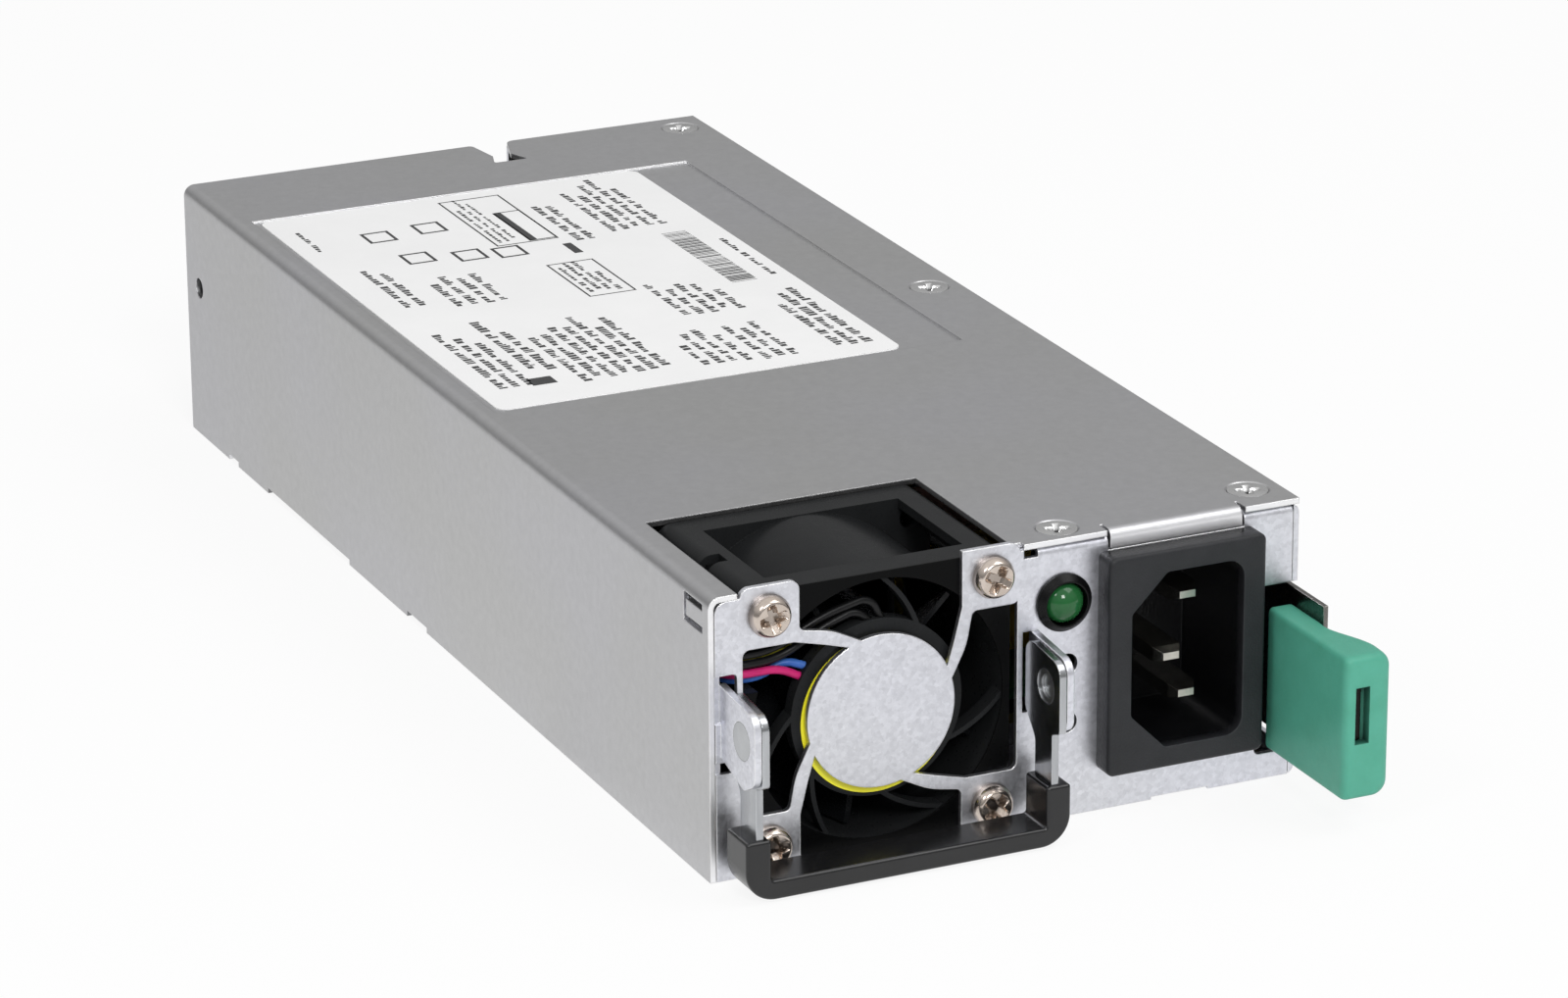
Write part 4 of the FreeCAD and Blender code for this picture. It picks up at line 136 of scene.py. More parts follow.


def finish(name, light, dark, rough, metal=0.0, grain=0.15, blotch=4.0, bump=0.01, edge=0.0, corner_light=0.0,
           stretch=None, **sockets):
    """A solid finish. Colour runs from dark to light over soft blotches, roughness follows a fine grain
    of that size in mm, and the same grain lifts the surface by bump mm. Corners are shaded as if rounded by
    edge mm, and there the colour is multiplied by one plus the corner light factor: a painted highlight, or
    painted shade where it is negative.
    """
    material = bpy.data.materials.new(name)
    material.use_nodes = True
    tree = material.node_tree
    tree.nodes.clear()
    place = add(tree, "TexCoord").outputs["Object"]
    if stretch:
        place = add(tree, "Mapping", {"Vector": place, "Scale": stretch}).outputs["Vector"]
    # a noise cell is about one over its scale across
    broad = add(tree, "TexNoise", {"Vector": place, "Scale": 1 / (blotch * MM), "Detail": 3.0,
                                   "Roughness": 0.6})
    fine = add(tree, "TexNoise", {"Vector": place, "Scale": 1 / (grain * MM), "Detail": 2.0})
    ramp = add(tree, "ValToRGB", {"Fac": broad.outputs["Fac"]})
    for stop, at, code in zip(ramp.color_ramp.elements, (NOISE_LOW, NOISE_HIGH), (dark, light)):
        stop.position = at
        stop.color = linear(code)
    colour = ramp.outputs["Color"]
    spread = add(tree, "MapRange", {"Value": fine.outputs["Fac"], "From Min": NOISE_LOW,
                                    "From Max": NOISE_HIGH, "To Min": rough * (1 - ROUGH_SPREAD),
                                    "To Max": min(1.0, rough * (1 + ROUGH_SPREAD))})
    lift = add(tree, "Bump", {"Height": fine.outputs["Fac"], "Distance": bump * MM, "Strength": 1.0})
    if edge:
        rounded = add(tree, "Bevel", {"Radius": edge * MM}, samples=4).outputs["Normal"]
        tree.links.new(rounded, lift.inputs["Normal"])
    # painted corner light: the colour on corners is multiplied up as a painted highlight, or down as painted
    # shade for a negative factor
    if corner_light:
        flat = add(tree, "NewGeometry").outputs["Normal"]
        turn = add(tree, "VectorMath", {0: rounded, 1: flat}, operation="DOT_PRODUCT")
        gain = add(tree, "MapRange", {"Value": turn.outputs["Value"], "From Min": CORNER_START,
                                      "From Max": CORNER_FULL, "To Min": 1.0, "To Max": 1 + corner_light})
        colour = add(tree, "VectorMath", {0: colour, "Scale": gain.outputs["Result"]},
                     operation="SCALE").outputs["Vector"]
    shader = add(tree, "BsdfPrincipled", {"Base Color": colour, "Metallic": metal,
                                          "Roughness": spread.outputs["Result"],
                                          "Normal": lift.outputs["Normal"]})
    for socket, value in sockets.items():
        shader.inputs[socket.replace("_", " ")].default_value = value
    add(tree, "OutputMaterial", {"Surface": shader.outputs["BSDF"]})
    return material


def box_mm(name):
    """A node's lowest and highest corner in mm."""
    low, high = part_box(name)
    return np.array(low) / MM, np.array(high) / MM


def dress(material, *names):
    """Put a finish on whole nodes."""
    for name in names:
        mesh = nodes[name].data
        mesh.materials.clear()
        mesh.materials.append(material)
    print(material.name, "on", ", ".join(names))


# %% [markdown]
# ## Galvanised steel
# The case is folded from steel that was dipped in zinc. Zinc freezes in flat crystals, the spangle, which a
# light rolling dulls. A Voronoi pattern suits them, because each of its cells carries one random colour of
# its own, which here gives the crystal its tone and its gloss. Faces that point forwards get a painted
# highlight near the case's ends, and painted shade in the openings between.

# %% Galvanised steel
END_START, END_FULL = 72.0, 75.0      # mm from the middle of the case: forward faces beyond get a painted highlight
OPENING_SHADE = 0.45                           # painted shade: factor on forward faces in the openings between
FACING_START, FACING_FULL = -0.7, -0.95     # Y of the normal of a face that points forwards
DRIFT = 38.0                          # mm over which the coat's tone drifts


def spangle(name, light, dark, rough, cell, mottle, corner_light, front_light):
    """Zinc-coated steel: crystals of the given size in mm, each with its own tone and gloss, over a fine
    grain. A face that points forwards is multiplied by one plus the front light factor near either end of
    the case, a painted highlight, and by a lower factor in the openings between, painted shade.
    """
    material = finish(name, light, dark, rough, 1.0, grain=0.2, blotch=cell * 1.6, bump=0.003, edge=0.28,
                      corner_light=corner_light)
    tree = material.node_tree
    shader = next(n for n in tree.nodes if n.type == "BSDF_PRINCIPLED")
    colour = shader.inputs["Base Color"].links[0].from_socket
    place = add(tree, "TexCoord").outputs["Object"]
    # crystals are ragged, so a noise half their size moves the pattern by up to 0.7 of a crystal
    warp = add(tree, "TexNoise", {"Vector": place, "Scale": 1 / (cell * 0.5 * MM), "Detail": 2.0})
    bent = add(tree, "VectorMath", {0: warp.outputs["Color"], 1: (cell * MM * 0.7,) * 3},
               operation="MULTIPLY").outputs["Vector"]
    moved = add(tree, "VectorMath", {0: place, 1: bent}, operation="ADD").outputs["Vector"]
    crystals = add(tree, "TexVoronoi", {"Vector": moved, "Scale": 1 / (cell * MM)})
    tone = add(tree, "SeparateColor", {"Color": crystals.outputs["Color"]})
    shade = add(tree, "MapRange", {"Value": tone.outputs["Red"], "To Min": 1 - 0.22 * mottle,
                                   "To Max": 1 + 0.1 * mottle}).outputs["Result"]
    tinted = add(tree, "VectorMath", {0: colour, "Scale": shade}, operation="SCALE").outputs["Vector"]
    # painted highlight and painted shade: faces that point forwards are brightened near the case's ends and
    # darkened in the openings between
    way = add(tree, "SeparateXYZ", {"Vector": add(tree, "NewGeometry").outputs["Normal"]})
    along = add(tree, "SeparateXYZ", {"Vector": place}).outputs["Y"]
    away = add(tree, "Math", {0: along}, operation="ABSOLUTE").outputs["Value"]
    limit = add(tree, "MapRange", {"Value": away, "From Min": END_START * MM, "From Max": END_FULL * MM,
                                   "To Min": OPENING_SHADE, "To Max": 1 + front_light}).outputs["Result"]
    painted_front_light = add(tree, "MapRange", {"Value": way.outputs["Y"], "From Min": FACING_START,
                                  "From Max": FACING_FULL, "To Min": 1.0, "To Max": limit}).outputs["Result"]
    bright = add(tree, "VectorMath", {0: tinted, "Scale": painted_front_light}, operation="SCALE").outputs["Vector"]
    # the coat's tone drifts a little, towards blue, over several centimetres
    slow = add(tree, "TexNoise", {"Vector": place, "Scale": 1 / (DRIFT * MM), "Detail": 1.0})
    tint = add(tree, "ValToRGB", {"Fac": slow.outputs["Fac"]})
    for stop, at, code in zip(tint.color_ramp.elements, (0.35, 0.65), ("#FAFAFA", "#FCFCFF")):
        stop.position = at
        stop.color = linear(code)
    drifted = add(tree, "VectorMath", {0: bright, 1: tint.outputs["Color"]}, operation="MULTIPLY")
    tree.links.new(drifted.outputs["Vector"], shader.inputs["Base Color"])
    old = shader.inputs["Roughness"].links[0].from_socket
    gloss = add(tree, "MapRange", {"Value": tone.outputs["Green"], "To Min": -0.07 * mottle,
                                   "To Max": 0.07 * mottle}).outputs["Result"]
    total = add(tree, "Math", {0: old, 1: gloss}, operation="ADD")
    tree.links.new(total.outputs["Value"], shader.inputs["Roughness"])
    return material


# rolled after its dip: an even satin grey in which the crystals are only just to be seen, with faint
# painted highlights on its corners and on its forward faces near the ends
cover_steel = spangle("galvanised_steel_rolled_cover", "#C6C6C6", "#C1C1C1", 0.40, 0.9, mottle=0.1, corner_light=0.2,
                      front_light=0.8)
# left as it froze: paler, with a plain mottle, painted highlights on its corners and painted shade on
# forward faces in its openings
panel_steel = spangle("galvanised_steel_spangled_panel", "#E8E9EE", "#DCDDE2", 0.40, 0.55, mottle=0.45,
                      corner_light=0.6, front_light=0.0)
dress(cover_steel, "top_cover")
dress(panel_steel, "front_panel", "base_tray")

# %% [markdown]
# ## Strip steel and rivets
# The bail's strap is brushed strip, the latch is oiled spring strip, and the rivets are plated. A finish
# often changes along a piece, as where a tongue's end is darkened as painted shade deep in its socket, so a
# helper multiplies the colour or the roughness by a factor that runs along one axis.

# %% Strip steel and rivets
def fade(material, axis, start, stop, **ends):
    """Multiply inputs of a finish by a factor that runs, along an axis of the part, from its first value at
    start mm to its second at stop mm."""
    tree = material.node_tree
    shader = next(n for n in tree.nodes if n.type == "BSDF_PRINCIPLED")
    place = add(tree, "SeparateXYZ", {"Vector": add(tree, "TexCoord").outputs["Object"]})
    for name, (first, second) in ends.items():
        socket = shader.inputs[name.replace("_", " ")]
        old = socket.links[0].from_socket
        factor = add(tree, "MapRange", {"Value": place.outputs[axis], "From Min": start * MM,
                                        "From Max": stop * MM, "To Min": first, "To Max": second})
        factor = factor.outputs["Result"]
        if name == "Base_Color":
            made = add(tree, "VectorMath", {0: old, "Scale": factor}, operation="SCALE").outputs["Vector"]
        else:
            made = add(tree, "Math", {0: old, 1: factor}, operation="MULTIPLY").outputs["Value"]
        tree.links.new(made, socket)


# brushed along its length: soft streaks, a low gloss and painted highlights on its corners
strap_steel = finish("stainless_steel_brushed_strap", "#BABCBF", "#A9ABAE", 0.23, 1.0, grain=0.12, blotch=1.5,
                     bump=0.002, edge=0.25, corner_light=0.5, stretch=(1.0, 1.0, 0.15))
# plated in a barrel: smooth, with its rims darkened as painted shade
rivet_steel = finish("steel_zinc_plated_rivet", "#BFC1C3", "#B2B4B6", 0.34, 1.0, edge=0.25, corner_light=-0.75)
# hardened and oiled: a warm dark grey, with painted highlights on its corners
latch_steel = finish("spring_steel_oiled_latch", "#807E7A", "#6E6C69", 0.28, 1.0, grain=0.12, blotch=1.5,
                     bump=0.002, edge=0.22, corner_light=1.6)
# the tongue's end sits deep in the tab, and its colour is darkened there as painted shade
tongue_end = box_mm("latch_spring")[0][1]
fade(latch_steel, "Y", tongue_end + 0.1, tongue_end + 0.5, Base_Color=(0.1, 1.0))
dress(strap_steel, "handle_bail")
dress(latch_steel, "latch_spring")
dress(rivet_steel, "handle_rivets", "latch_rivets")

# %% [markdown]
# ## Moulded plastic
# The fan, the inlet and the grip are black moulded plastics. Each mould gives its own gloss: the fan comes
# from a polished mould, the inlet from a spark-eroded one, and the grip from a satin one.

# %% Plastic finishes
# glass-filled and polished: a dull black that mirrors little
fan_plastic = finish("pbt_moulded_black", "#232425", "#1F2021", 0.30, grain=0.5, bump=0.002, edge=0.12,
                     Specular_IOR_Level=0.07)
# the rotor's is darker and smoother, so its blades catch soft streaks
rotor_plastic = finish("pbt_moulded_black_rotor", "#131416", "#101113", 0.26, grain=0.5, bump=0.002, edge=0.1,
                       Specular_IOR_Level=0.22)
# spark-eroded: fine pits that scatter the light, and painted highlights that make its corners pale
inlet_plastic = finish("nylon_spark_textured_black", "#26272A", "#1F2023", 0.46, grain=0.3, bump=0.05,
                       edge=0.35, corner_light=1.2, Specular_IOR_Level=0.35)
# rubbery and satin: long soft lights along the grip
grip_plastic = finish("tpe_moulded_satin_black", "#1C1C1D", "#171718", 0.22, grain=0.3, bump=0.002, edge=0.18)
# tinted right through: a matt green into which a little light sinks, with a faint painted highlight on its
# corners
tab_plastic = finish("nylon_moulded_green", "#56AA93", "#4FA189", 0.46, grain=0.3, bump=0.008, edge=0.4,
                     corner_light=0.25, Specular_IOR_Level=0.35, Subsurface_Weight=0.04, Subsurface_Scale=0.001)
# the frame's front face is darkened to a deeper black than the sides, as painted shade
frame_front = box_mm("fan_frame")[0][1]
fade(fan_plastic, "Y", frame_front + 0.1, frame_front + 0.4, Base_Color=(0.15, 1.0))
dress(fan_plastic, "fan_frame")
dress(rotor_plastic, "fan_rotor")
dress(inlet_plastic, "inlet_body")
dress(grip_plastic, "handle_grip")
# the mouth is moulded on a polished core, so its gloss changes behind the bezel's face, and its colour
# is darkened there as painted shade
bezel_front = box_mm("inlet_body")[0][1]
fade(inlet_plastic, "Y", bezel_front + 0.5, bezel_front + 2.0, Base_Color=(1.0, 0.25), Roughness=(1.0, 0.5))
# a smooth collar that swallows the light round the lamp
dress(finish("abs_moulded_black_collar", "#0D0D0E", "#0A0A0B", 0.28, edge=0.15, Specular_IOR_Level=0.16),
      "led_bezel")
# undyed nylon: a warm, matt ivory
dress(finish("nylon_moulded_ivory_plug", "#E4DDC8", "#D8D0B8", 0.5), "fan_plug", "led_plug")

# %% [markdown]
# ## Labels and leads
# The labels are polyester film, whose tone hardly changes over centimetres. The leads are copper strands in
# soft sleeves, and only the sleeves are seen, each in the one colour that tells what it carries.

# %% Labels and leads
# coated film: an even white with a soft sheen
dress(finish("polyester_label_white", "#FFFFFF", "#FBFBFB", 0.42, blotch=12.0, bump=0.002), "rating_label")
# the same film dyed: a clear yellow
dress(finish("polyester_label_yellow", "#FFFA3C", "#FFF430", 0.4), "fan_label")
# extruded sleeves: smooth and waxy, with one soft light along each
for colour_name, light, dark in (("yellow", "#D9D04A", "#CBC23E"), ("black", "#111112", "#0C0C0D"),
                                 ("red", "#D02A74", "#BF2268"), ("blue", "#3F70C4", "#3563B4")):
    dress(finish("pvc_insulation_" + colour_name, light, dark, 0.34, grain=0.4, blotch=2.0,
                 Specular_IOR_Level=0.25), "fan_lead_" + colour_name)
dress(finish("pvc_insulation_grey", "#4A4B4D", "#424345", 0.4), "led_leads")
# silicone sleeves: duller than the others
dress(finish("silicone_insulation_brown", "#5A3420", "#4E2C1A", 0.45), "line_lead")
dress(finish("silicone_insulation_pale_blue", "#3C6FB0", "#3464A2", 0.45), "neutral_lead")
dress(finish("silicone_insulation_green", "#3E9A46", "#36893D", 0.45), "earth_lead")

# %% [markdown]
# ## Metal parts inside
# Most of what follows stays hidden by the case, and the vents and the fan's opening let some of it show. Each
# piece gets the finish of its real material at its real scale, so the part looks right with its cover off.

# %% Metal parts inside
# plated smooth: warm and bright
dress(finish("nickel_plated_brass_pins", "#C9C6BE", "#B7B4AC", 0.24, 1.0, grain=0.2, edge=0.1), "inlet_pins")
# plated in a barrel: even and a little dull
dress(finish("steel_zinc_plated_hardware", "#B8BABC", "#A6A8AA", 0.3, 1.0), "board_standoffs", "board_screws",
      "earth_terminal", "fuse_clips")
# ground: close to a mirror
dress(finish("bearing_steel_ground", "#B4B6B8", "#A9ABAD", 0.18, 1.0), "fan_bearings", "rotor_shaft")
# stamped sheets in a stack: the grain runs in lines across the stack
dress(finish("silicon_steel_laminated", "#7D7F82", "#6E7073", 0.4, 1.0, stretch=(1.0, 4.0, 1.0)),
      "stator_core")
# drawn wire under enamel: brown copper, rough as the turns are
dress(finish("copper_enamelled_winding", "#8F5436", "#774329", 0.32, 1.0, grain=0.5, bump=0.06),
      "stator_coils", "emi_choke_winding", "pfc_choke_winding", "transformer_winding")
# tinned copper: pale where the tin lies, warm where it is thin
dress(finish("copper_tinned_bar", "#B87F5C", "#A97150", 0.34, 1.0), "output_busbars")
# plated gold over nickel: a clear yellow shine
dress(finish("gold_plated_contact", "#D9B25A", "#CDA54D", 0.25, 1.0), "edge_contacts")
# extruded: fine lines along the fins
dress(finish("aluminium_extruded", "#BFC1C3", "#B0B2B4", 0.36, 1.0, stretch=(1.0, 0.1, 1.0)),
      "primary_heatsink")
# deep drawn: smooth and bright
dress(finish("aluminium_drawn_can", "#CFD0D1", "#C2C3C4", 0.28, 1.0), "output_capacitors")

# %% [markdown]
# ## Boards and insulators inside
# Solder mask is a thin lacquer, ferrite is a fired ceramic, and the rest are moulded, cast or film plastics.

# %% Boards and insulators inside
# fired and unglazed: a dark, coarse grey
dress(finish("ferrite_sintered", "#333436", "#28292B", 0.6, grain=0.6, bump=0.01), "rotor_magnet",
      "emi_choke_core", "pfc_choke_core", "transformer_core", "output_inductor")
# lacquer over glass cloth: a deep green that changes over the copper beneath
dress(finish("fr4_solder_mask_green", "#1F6B45", "#1A5D3B", 0.38, blotch=8.0), "main_board", "control_board",
      "fan_circuit_board")
# calendered film: matt black
dress(finish("polypropylene_film_black", "#1D1D1E", "#171718", 0.5), "insulator_sheet")
# moulded boxes: an opaque yellow
dress(finish("polyester_box_yellow", "#D8B93C", "#C9AB33", 0.45), "x_capacitors")
# transfer-moulded: black with the fine tooth of its filler
dress(finish("epoxy_moulded_black", "#1E1F20", "#18191A", 0.5, grain=0.3, bump=0.01), "bridge_rectifier",
      "power_transistors", "control_chips", "inrush_relay")
# shrunk sleeve: smooth and nearly black
dress(finish("pvc_sleeve_black", "#202127", "#191A1F", 0.3), "bulk_capacitor")
# drawn tube: clear, with a faint green
dress(finish("glass_tube_clear", "#E6ECEC", "#DDE4E4", 0.08, Transmission_Weight=0.7, IOR=1.5), "mains_fuse")

# %% [markdown]
# ## Surfaces from numpy
# A piece is worked out as a whole grid of points, one row after another, and a single call puts it in a mesh.
# Rows that shrink to one point close a pole, and the last column joins the first.

# %% Grid mesh
SMOOTH_ANGLE = math.radians(35)      # a sharper edge stays sharp


def grid_piece(name, points, material, body, replaced):
    """A closed piece from one or several grids of shape (rows, columns, 3) in mm: columns wrap round, and the
    first and last rows are poles. Quad corners are numbered row * columns + column."""
    corners = []
    places = []
    start = 0
    for grid in points:
        rows, columns = grid.shape[:2]
        index = start + np.arange(rows * columns).reshape(rows, columns)
        quads = np.stack([index[:-1], np.roll(index[:-1], -1, 1), np.roll(index[1:], -1, 1), index[1:]], -1)
        corners.append(quads.reshape(-1, 4))
        places.append(grid.reshape(-1, 3) * MM)
        start += rows * columns
    mesh = bpy.data.meshes.new(name)
    mesh.from_pydata(np.concatenate(places).tolist(), [], np.concatenate(corners).tolist())
    piece = bpy.data.objects.new(name, mesh)
    scene.collection.objects.link(piece)
    close(piece)
    mesh.materials.append(material)
    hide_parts(replaced)
    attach(piece, body)
    print(name, "rows x columns", [grid.shape[:2] for grid in points], "faces", len(mesh.polygons))


def close(piece):
    """Merge the doubled points of poles, turn faces outwards and smooth all but the sharp edges."""
    work = bmesh.new()
    work.from_mesh(piece.data)
    bmesh.ops.remove_doubles(work, verts=work.verts, dist=1e-7)
    bmesh.ops.recalc_face_normals(work, faces=work.faces)
    for edge in work.edges:
        edge.smooth = len(edge.link_faces) == 2 and edge.calc_face_angle(0) < SMOOTH_ANGLE
    for face in work.faces:
        face.smooth = True
    work.to_mesh(piece.data)
    work.free()


def turned(profile, columns):
    """Grid of a turned shape about +Z: each (radius, height) of the profile goes round in equal angles."""
    profile = np.asarray(profile, float)
    angles = np.arange(columns) * 2 * np.pi / columns
    grid = np.empty((len(profile), columns, 3))
    grid[..., 0] = profile[:, :1] * np.cos(angles)
    grid[..., 1] = profile[:, :1] * np.sin(angles)
    grid[..., 2] = profile[:, 1:]
    return grid


# %% [markdown]
# ## Cross-recessed screws
# A screw is turned, then a punch sinks the cross in its head. The head's front is a fine grid of rings, and
# each point sinks where it lies inside one of the two crossed bars, deepest in the middle.

# %% Screw shapes
def crossed(grid, reach, width, depth, turn, slope):
    """Sink a cross: a point inside a bar of this half width and reach drops by depth times a ramp, which is 1
    in the middle and falls to 0 over the last 0.55 of the reach. The bar's wall is a smooth step, 3 t squared
    less 2 t cubed, as wide as the slope."""
    c, s = np.cos(turn), np.sin(turn)
    u = grid[..., 0] * c + grid[..., 1] * s
    v = grid[..., 1] * c - grid[..., 0] * s

    def bar(along, across):
        wall = np.clip((width - np.abs(across)) / slope + 0.5, 0, 1)
        end = np.clip((reach - np.abs(along)) / (reach * 0.55), 0, 1)
        return wall * wall * (3 - 2 * wall) * end

    sunk = grid.copy()
    sunk[..., 2] -= depth * np.maximum(bar(u, v), bar(v, u)) * (np.hypot(u, v) < reach)
    return sunk


SHANK = 1.5                # radii, and heights from the panel's or the cover's face, all in mm
PAN_RADIUS, PAN_HEIGHT, PAN_SHANK_END = 2.9, 1.9, -7.8
FLAT_RADIUS, FLAT_SHANK_END = 2.74, -4.8
SCREW_COLUMNS = 96
rings = np.linspace(0, 1, 34)     # shares of the head's radius


def pan_head(turn):
    """Domed head on a shank: its height falls by 0.06 times the square of the share of the radius, and from
    0.7 of the radius outwards the rim rounds off by a steeper power."""
    rim = np.clip((rings - 0.7) / 0.3, 0, 1) ** 2.2
    dome = np.stack([rings * PAN_RADIUS, PAN_HEIGHT * (1 - 0.06 * rings ** 2 - 0.6 * rim)], 1)
    rest = [(PAN_RADIUS, 0.3), (PAN_RADIUS, 0.0), (SHANK, 0.0), (SHANK, PAN_SHANK_END),
            (0.0, PAN_SHANK_END)]
    grid = turned(np.concatenate([dome, rest]), SCREW_COLUMNS)
    return crossed(grid, 2.0, 0.56, 1.2, turn, 0.3)


def flat_head(turn):
    """Flush head, hardly domed, whose rim stands a little inside the countersink's mouth, over a cone of 90
    degrees and the shank."""
    flat = np.stack([rings * FLAT_RADIUS, -0.03 - 0.05 * rings ** 2], 1)
    rest = [(2.78, -0.2), (SHANK, -1.48), (SHANK, FLAT_SHANK_END), (0.0, FLAT_SHANK_END)]
    grid = turned(np.concatenate([flat, rest]), SCREW_COLUMNS)
    return crossed(grid, 1.75, 0.4, 0.8, turn, 0.4)


# %% [markdown]
# ## The two sets of screws
# Four nickel-plated screws with domed heads hold the fan, and they stand on the panel's face. Four others,
# zinc-plated with flush heads, hold the cover in countersinks. Each cross stands at its own angle, as the
# driver left it. A finish that fades along one axis darkens, as painted shade, the rims of the first and the
# crosses of the others.

# %% Fan screws
# nickel over steel: a warm shine, darkened towards the panel, at the rim and deep in the cross, as painted
# shade
screw_nickel = finish("steel_nickel_plated_warm", "#DACEC4", "#BFB2A7", 0.2, 1.0, grain=0.2, bump=0.004)
low, high = box_mm("fan_screws")
panel_front = float(box_mm("base_tray")[0][1])
left, bottom = low[0] + PAN_RADIUS, low[2] + PAN_RADIUS
right, top = high[0] - PAN_RADIUS, high[2] - PAN_RADIUS
heads = []
for x, z, turn in ((left, top, 0.22), (right, top, 1.1), (left, bottom, 0.2), (right, bottom, 0.8)):
    grid = pan_head(turn)
    heads.append(np.stack([x + grid[..., 0], panel_front - grid[..., 2], z + grid[..., 1]], -1))
# painted shade: the head's colour falls towards the panel
fade(screw_nickel, "Y", panel_front - 1.1, panel_front - 0.4, Base_Color=(1.0, 0.4))
grid_piece("fan_screw_heads", heads, screw_nickel, "case", "fan_screws")

# %% Cover screws
# zinc over steel: a cold shine, with the cross's bottom darkened as painted shade
screw_zinc = finish("steel_zinc_plated_bright", "#E2E2E2", "#D4D4D4", 0.2, 1.0, grain=0.2, bump=0.003)
MOUTH = 3.0                          # mm, radius of the countersink's mouth
SIDE_DEPTHS = (5.9, 101.7)           # mm behind the panel's front, of the two screws along the right side
low, high = box_mm("cover_screws")
top = high[2]
right = high[0] - MOUTH
heads = []
for x, y, turn in ((right, panel_front + SIDE_DEPTHS[0], -0.28), (right, panel_front + SIDE_DEPTHS[1], -0.34),
                   (right, high[1] - MOUTH, -0.25), (low[0] + MOUTH, low[1] + MOUTH, -0.31)):
    heads.append(flat_head(turn) + np.array([x, y, top]))
# painted shade: the colour falls deep in the cross
fade(screw_zinc, "Z", top - 0.8, top - 0.5, Base_Color=(0.1, 1.0))
grid_piece("cover_screw_heads", heads, screw_zinc, "case", "cover_screws")

# %% [markdown]
# ## The status light
# A light-emitting diode is cast in tinted epoxy, so it is a solid lens with a round end and a rim behind.

# %% Status light
FLANGE, FLANGE_THICK = 0.5, 1.0      # mm round the lens, at its foot
low, high = box_mm("status_led")
middle = (low + high) / 2
radius = (high[0] - low[0]) / 2 - FLANGE
tip, foot = -low[1], -high[1]
# the lens is a quarter circle turned about the light's axis
arc = np.linspace(0, np.pi / 2, 24)
profile = [(radius * np.sin(a), tip - radius + radius * np.cos(a)) for a in arc]
profile += [(radius, foot + FLANGE_THICK), (radius + FLANGE, foot + FLANGE_THICK), (radius + FLANGE, foot),
            (0.0, foot)]
grid = turned(profile, 72)
grid = np.stack([middle[0] + grid[..., 0], -grid[..., 2], middle[2] + grid[..., 1]], -1)
# unlit, the tinted epoxy is a deep green under a hard gloss, and nothing shows through it
led_epoxy = finish("epoxy_cast_green_lens", "#245F33", "#1F552D", 0.06, bump=0.0005, IOR=1.52,
                   Specular_IOR_Level=0.36)
grid_piece("status_light", [grid], led_epoxy, "case", "status_led")

# %% [markdown]
# ## The thumb tab
# The tab is moulded round the latch's tongue. Its outer side is scooped for the thumb, so its width follows a
# smooth curve, and each section across it is a rectangle with small corners inside and large ones outside.

# %% Thumb tab
low, high = box_mm("latch_tab")
tall = high[2] - low[2]
long = high[1] - low[1]
# all in mm from the tab's front, left or lower side
POCKET = (1.5, 3.6, 7.9, 15.9, 1.6)    # left, right, bottom, top, depth
WAIST, WAIST_DEPTH = 3.9, 12.6         # the tab's width and its depth where it is narrowest
SWELL = 9.4                            # length over which it swells from there to its full width
PLATE_START, PLATE_WIDTH = 13.3, 3.95  # behind this depth it is a plain plate
FRONT_ROUND, EDGE_ROUND, REAR_ROUND = 1.3, 0.8, 0.6    # roundings of the front, its edges and the rear
NEAR, FAR, PLATE_FAR = 0.7, 2.0, 0.9   # corner radii: left side, right side, right side of the plate
TAPER = 0.08                           # fall of the right side's radius for each mm of depth
POINTS = 9                             # round each corner


def section(depth, left, right, bottom, top, near=0.0, far=0.0):
    """One row of points across the tab: they go round each corner of a rectangle on a quarter circle, of
    radius near at the left corners and far at the right ones."""
    arc = np.linspace(0, np.pi / 2, POINTS)
    row = []
    for cx, cz, radius, turn in ((right, top, far, 0), (left, top, near, 1), (left, bottom, near, 2),
                                 (right, bottom, far, 3)):
        angle = arc + turn * np.pi / 2
        sx = np.sign(np.cos(angle[POINTS // 2]))
        sz = np.sign(np.sin(angle[POINTS // 2]))
        row.append(np.stack([low[0] + cx + radius * (np.cos(angle) - sx), np.full(POINTS, low[1] + depth),
                             low[2] + cz + radius * (np.sin(angle) - sz)], 1))
    return np.concatenate(row)


def pole(row):
    """A row shrunk to its own middle, which closes the piece."""
    return np.repeat(row.mean(0)[None], len(row), 0)


def width_at(depth):
    """Tab's width: from the waist to its full width by a smooth step, 3 t squared less 2 t cubed."""
    t = np.clip((WAIST_DEPTH - depth) / SWELL, 0, 1)
    return WAIST + (high[0] - low[0] - WAIST) * (3 * t ** 2 - 2 * t ** 3)


# from the pocket's floor out to its mouth, over the rounded front, back along the sides and round the rear
left, right, bottom, top, pocket = POCKET
floor_row = section(pocket, left, right, bottom, top)
rows = [pole(floor_row), floor_row, section(0, left, right, bottom, top)]
for t in np.linspace(0, np.pi / 2, 8):
    in_by = 1 - np.sin(t)
    depth = FRONT_ROUND * (1 - np.cos(t))
    rows.append(section(depth, NEAR * in_by, width_at(depth) - FRONT_ROUND * in_by, EDGE_ROUND * in_by,
                        tall - EDGE_ROUND * in_by, NEAR, FAR))
for depth in np.linspace(FRONT_ROUND, PLATE_START, 28)[1:]:
    rows.append(section(depth, 0.0, width_at(depth), 0.0, tall, NEAR, FAR - TAPER * depth))
for depth in (PLATE_START + 0.01, long - REAR_ROUND):
    rows.append(section(depth, 0.0, PLATE_WIDTH, 0.0, tall, NEAR, PLATE_FAR))
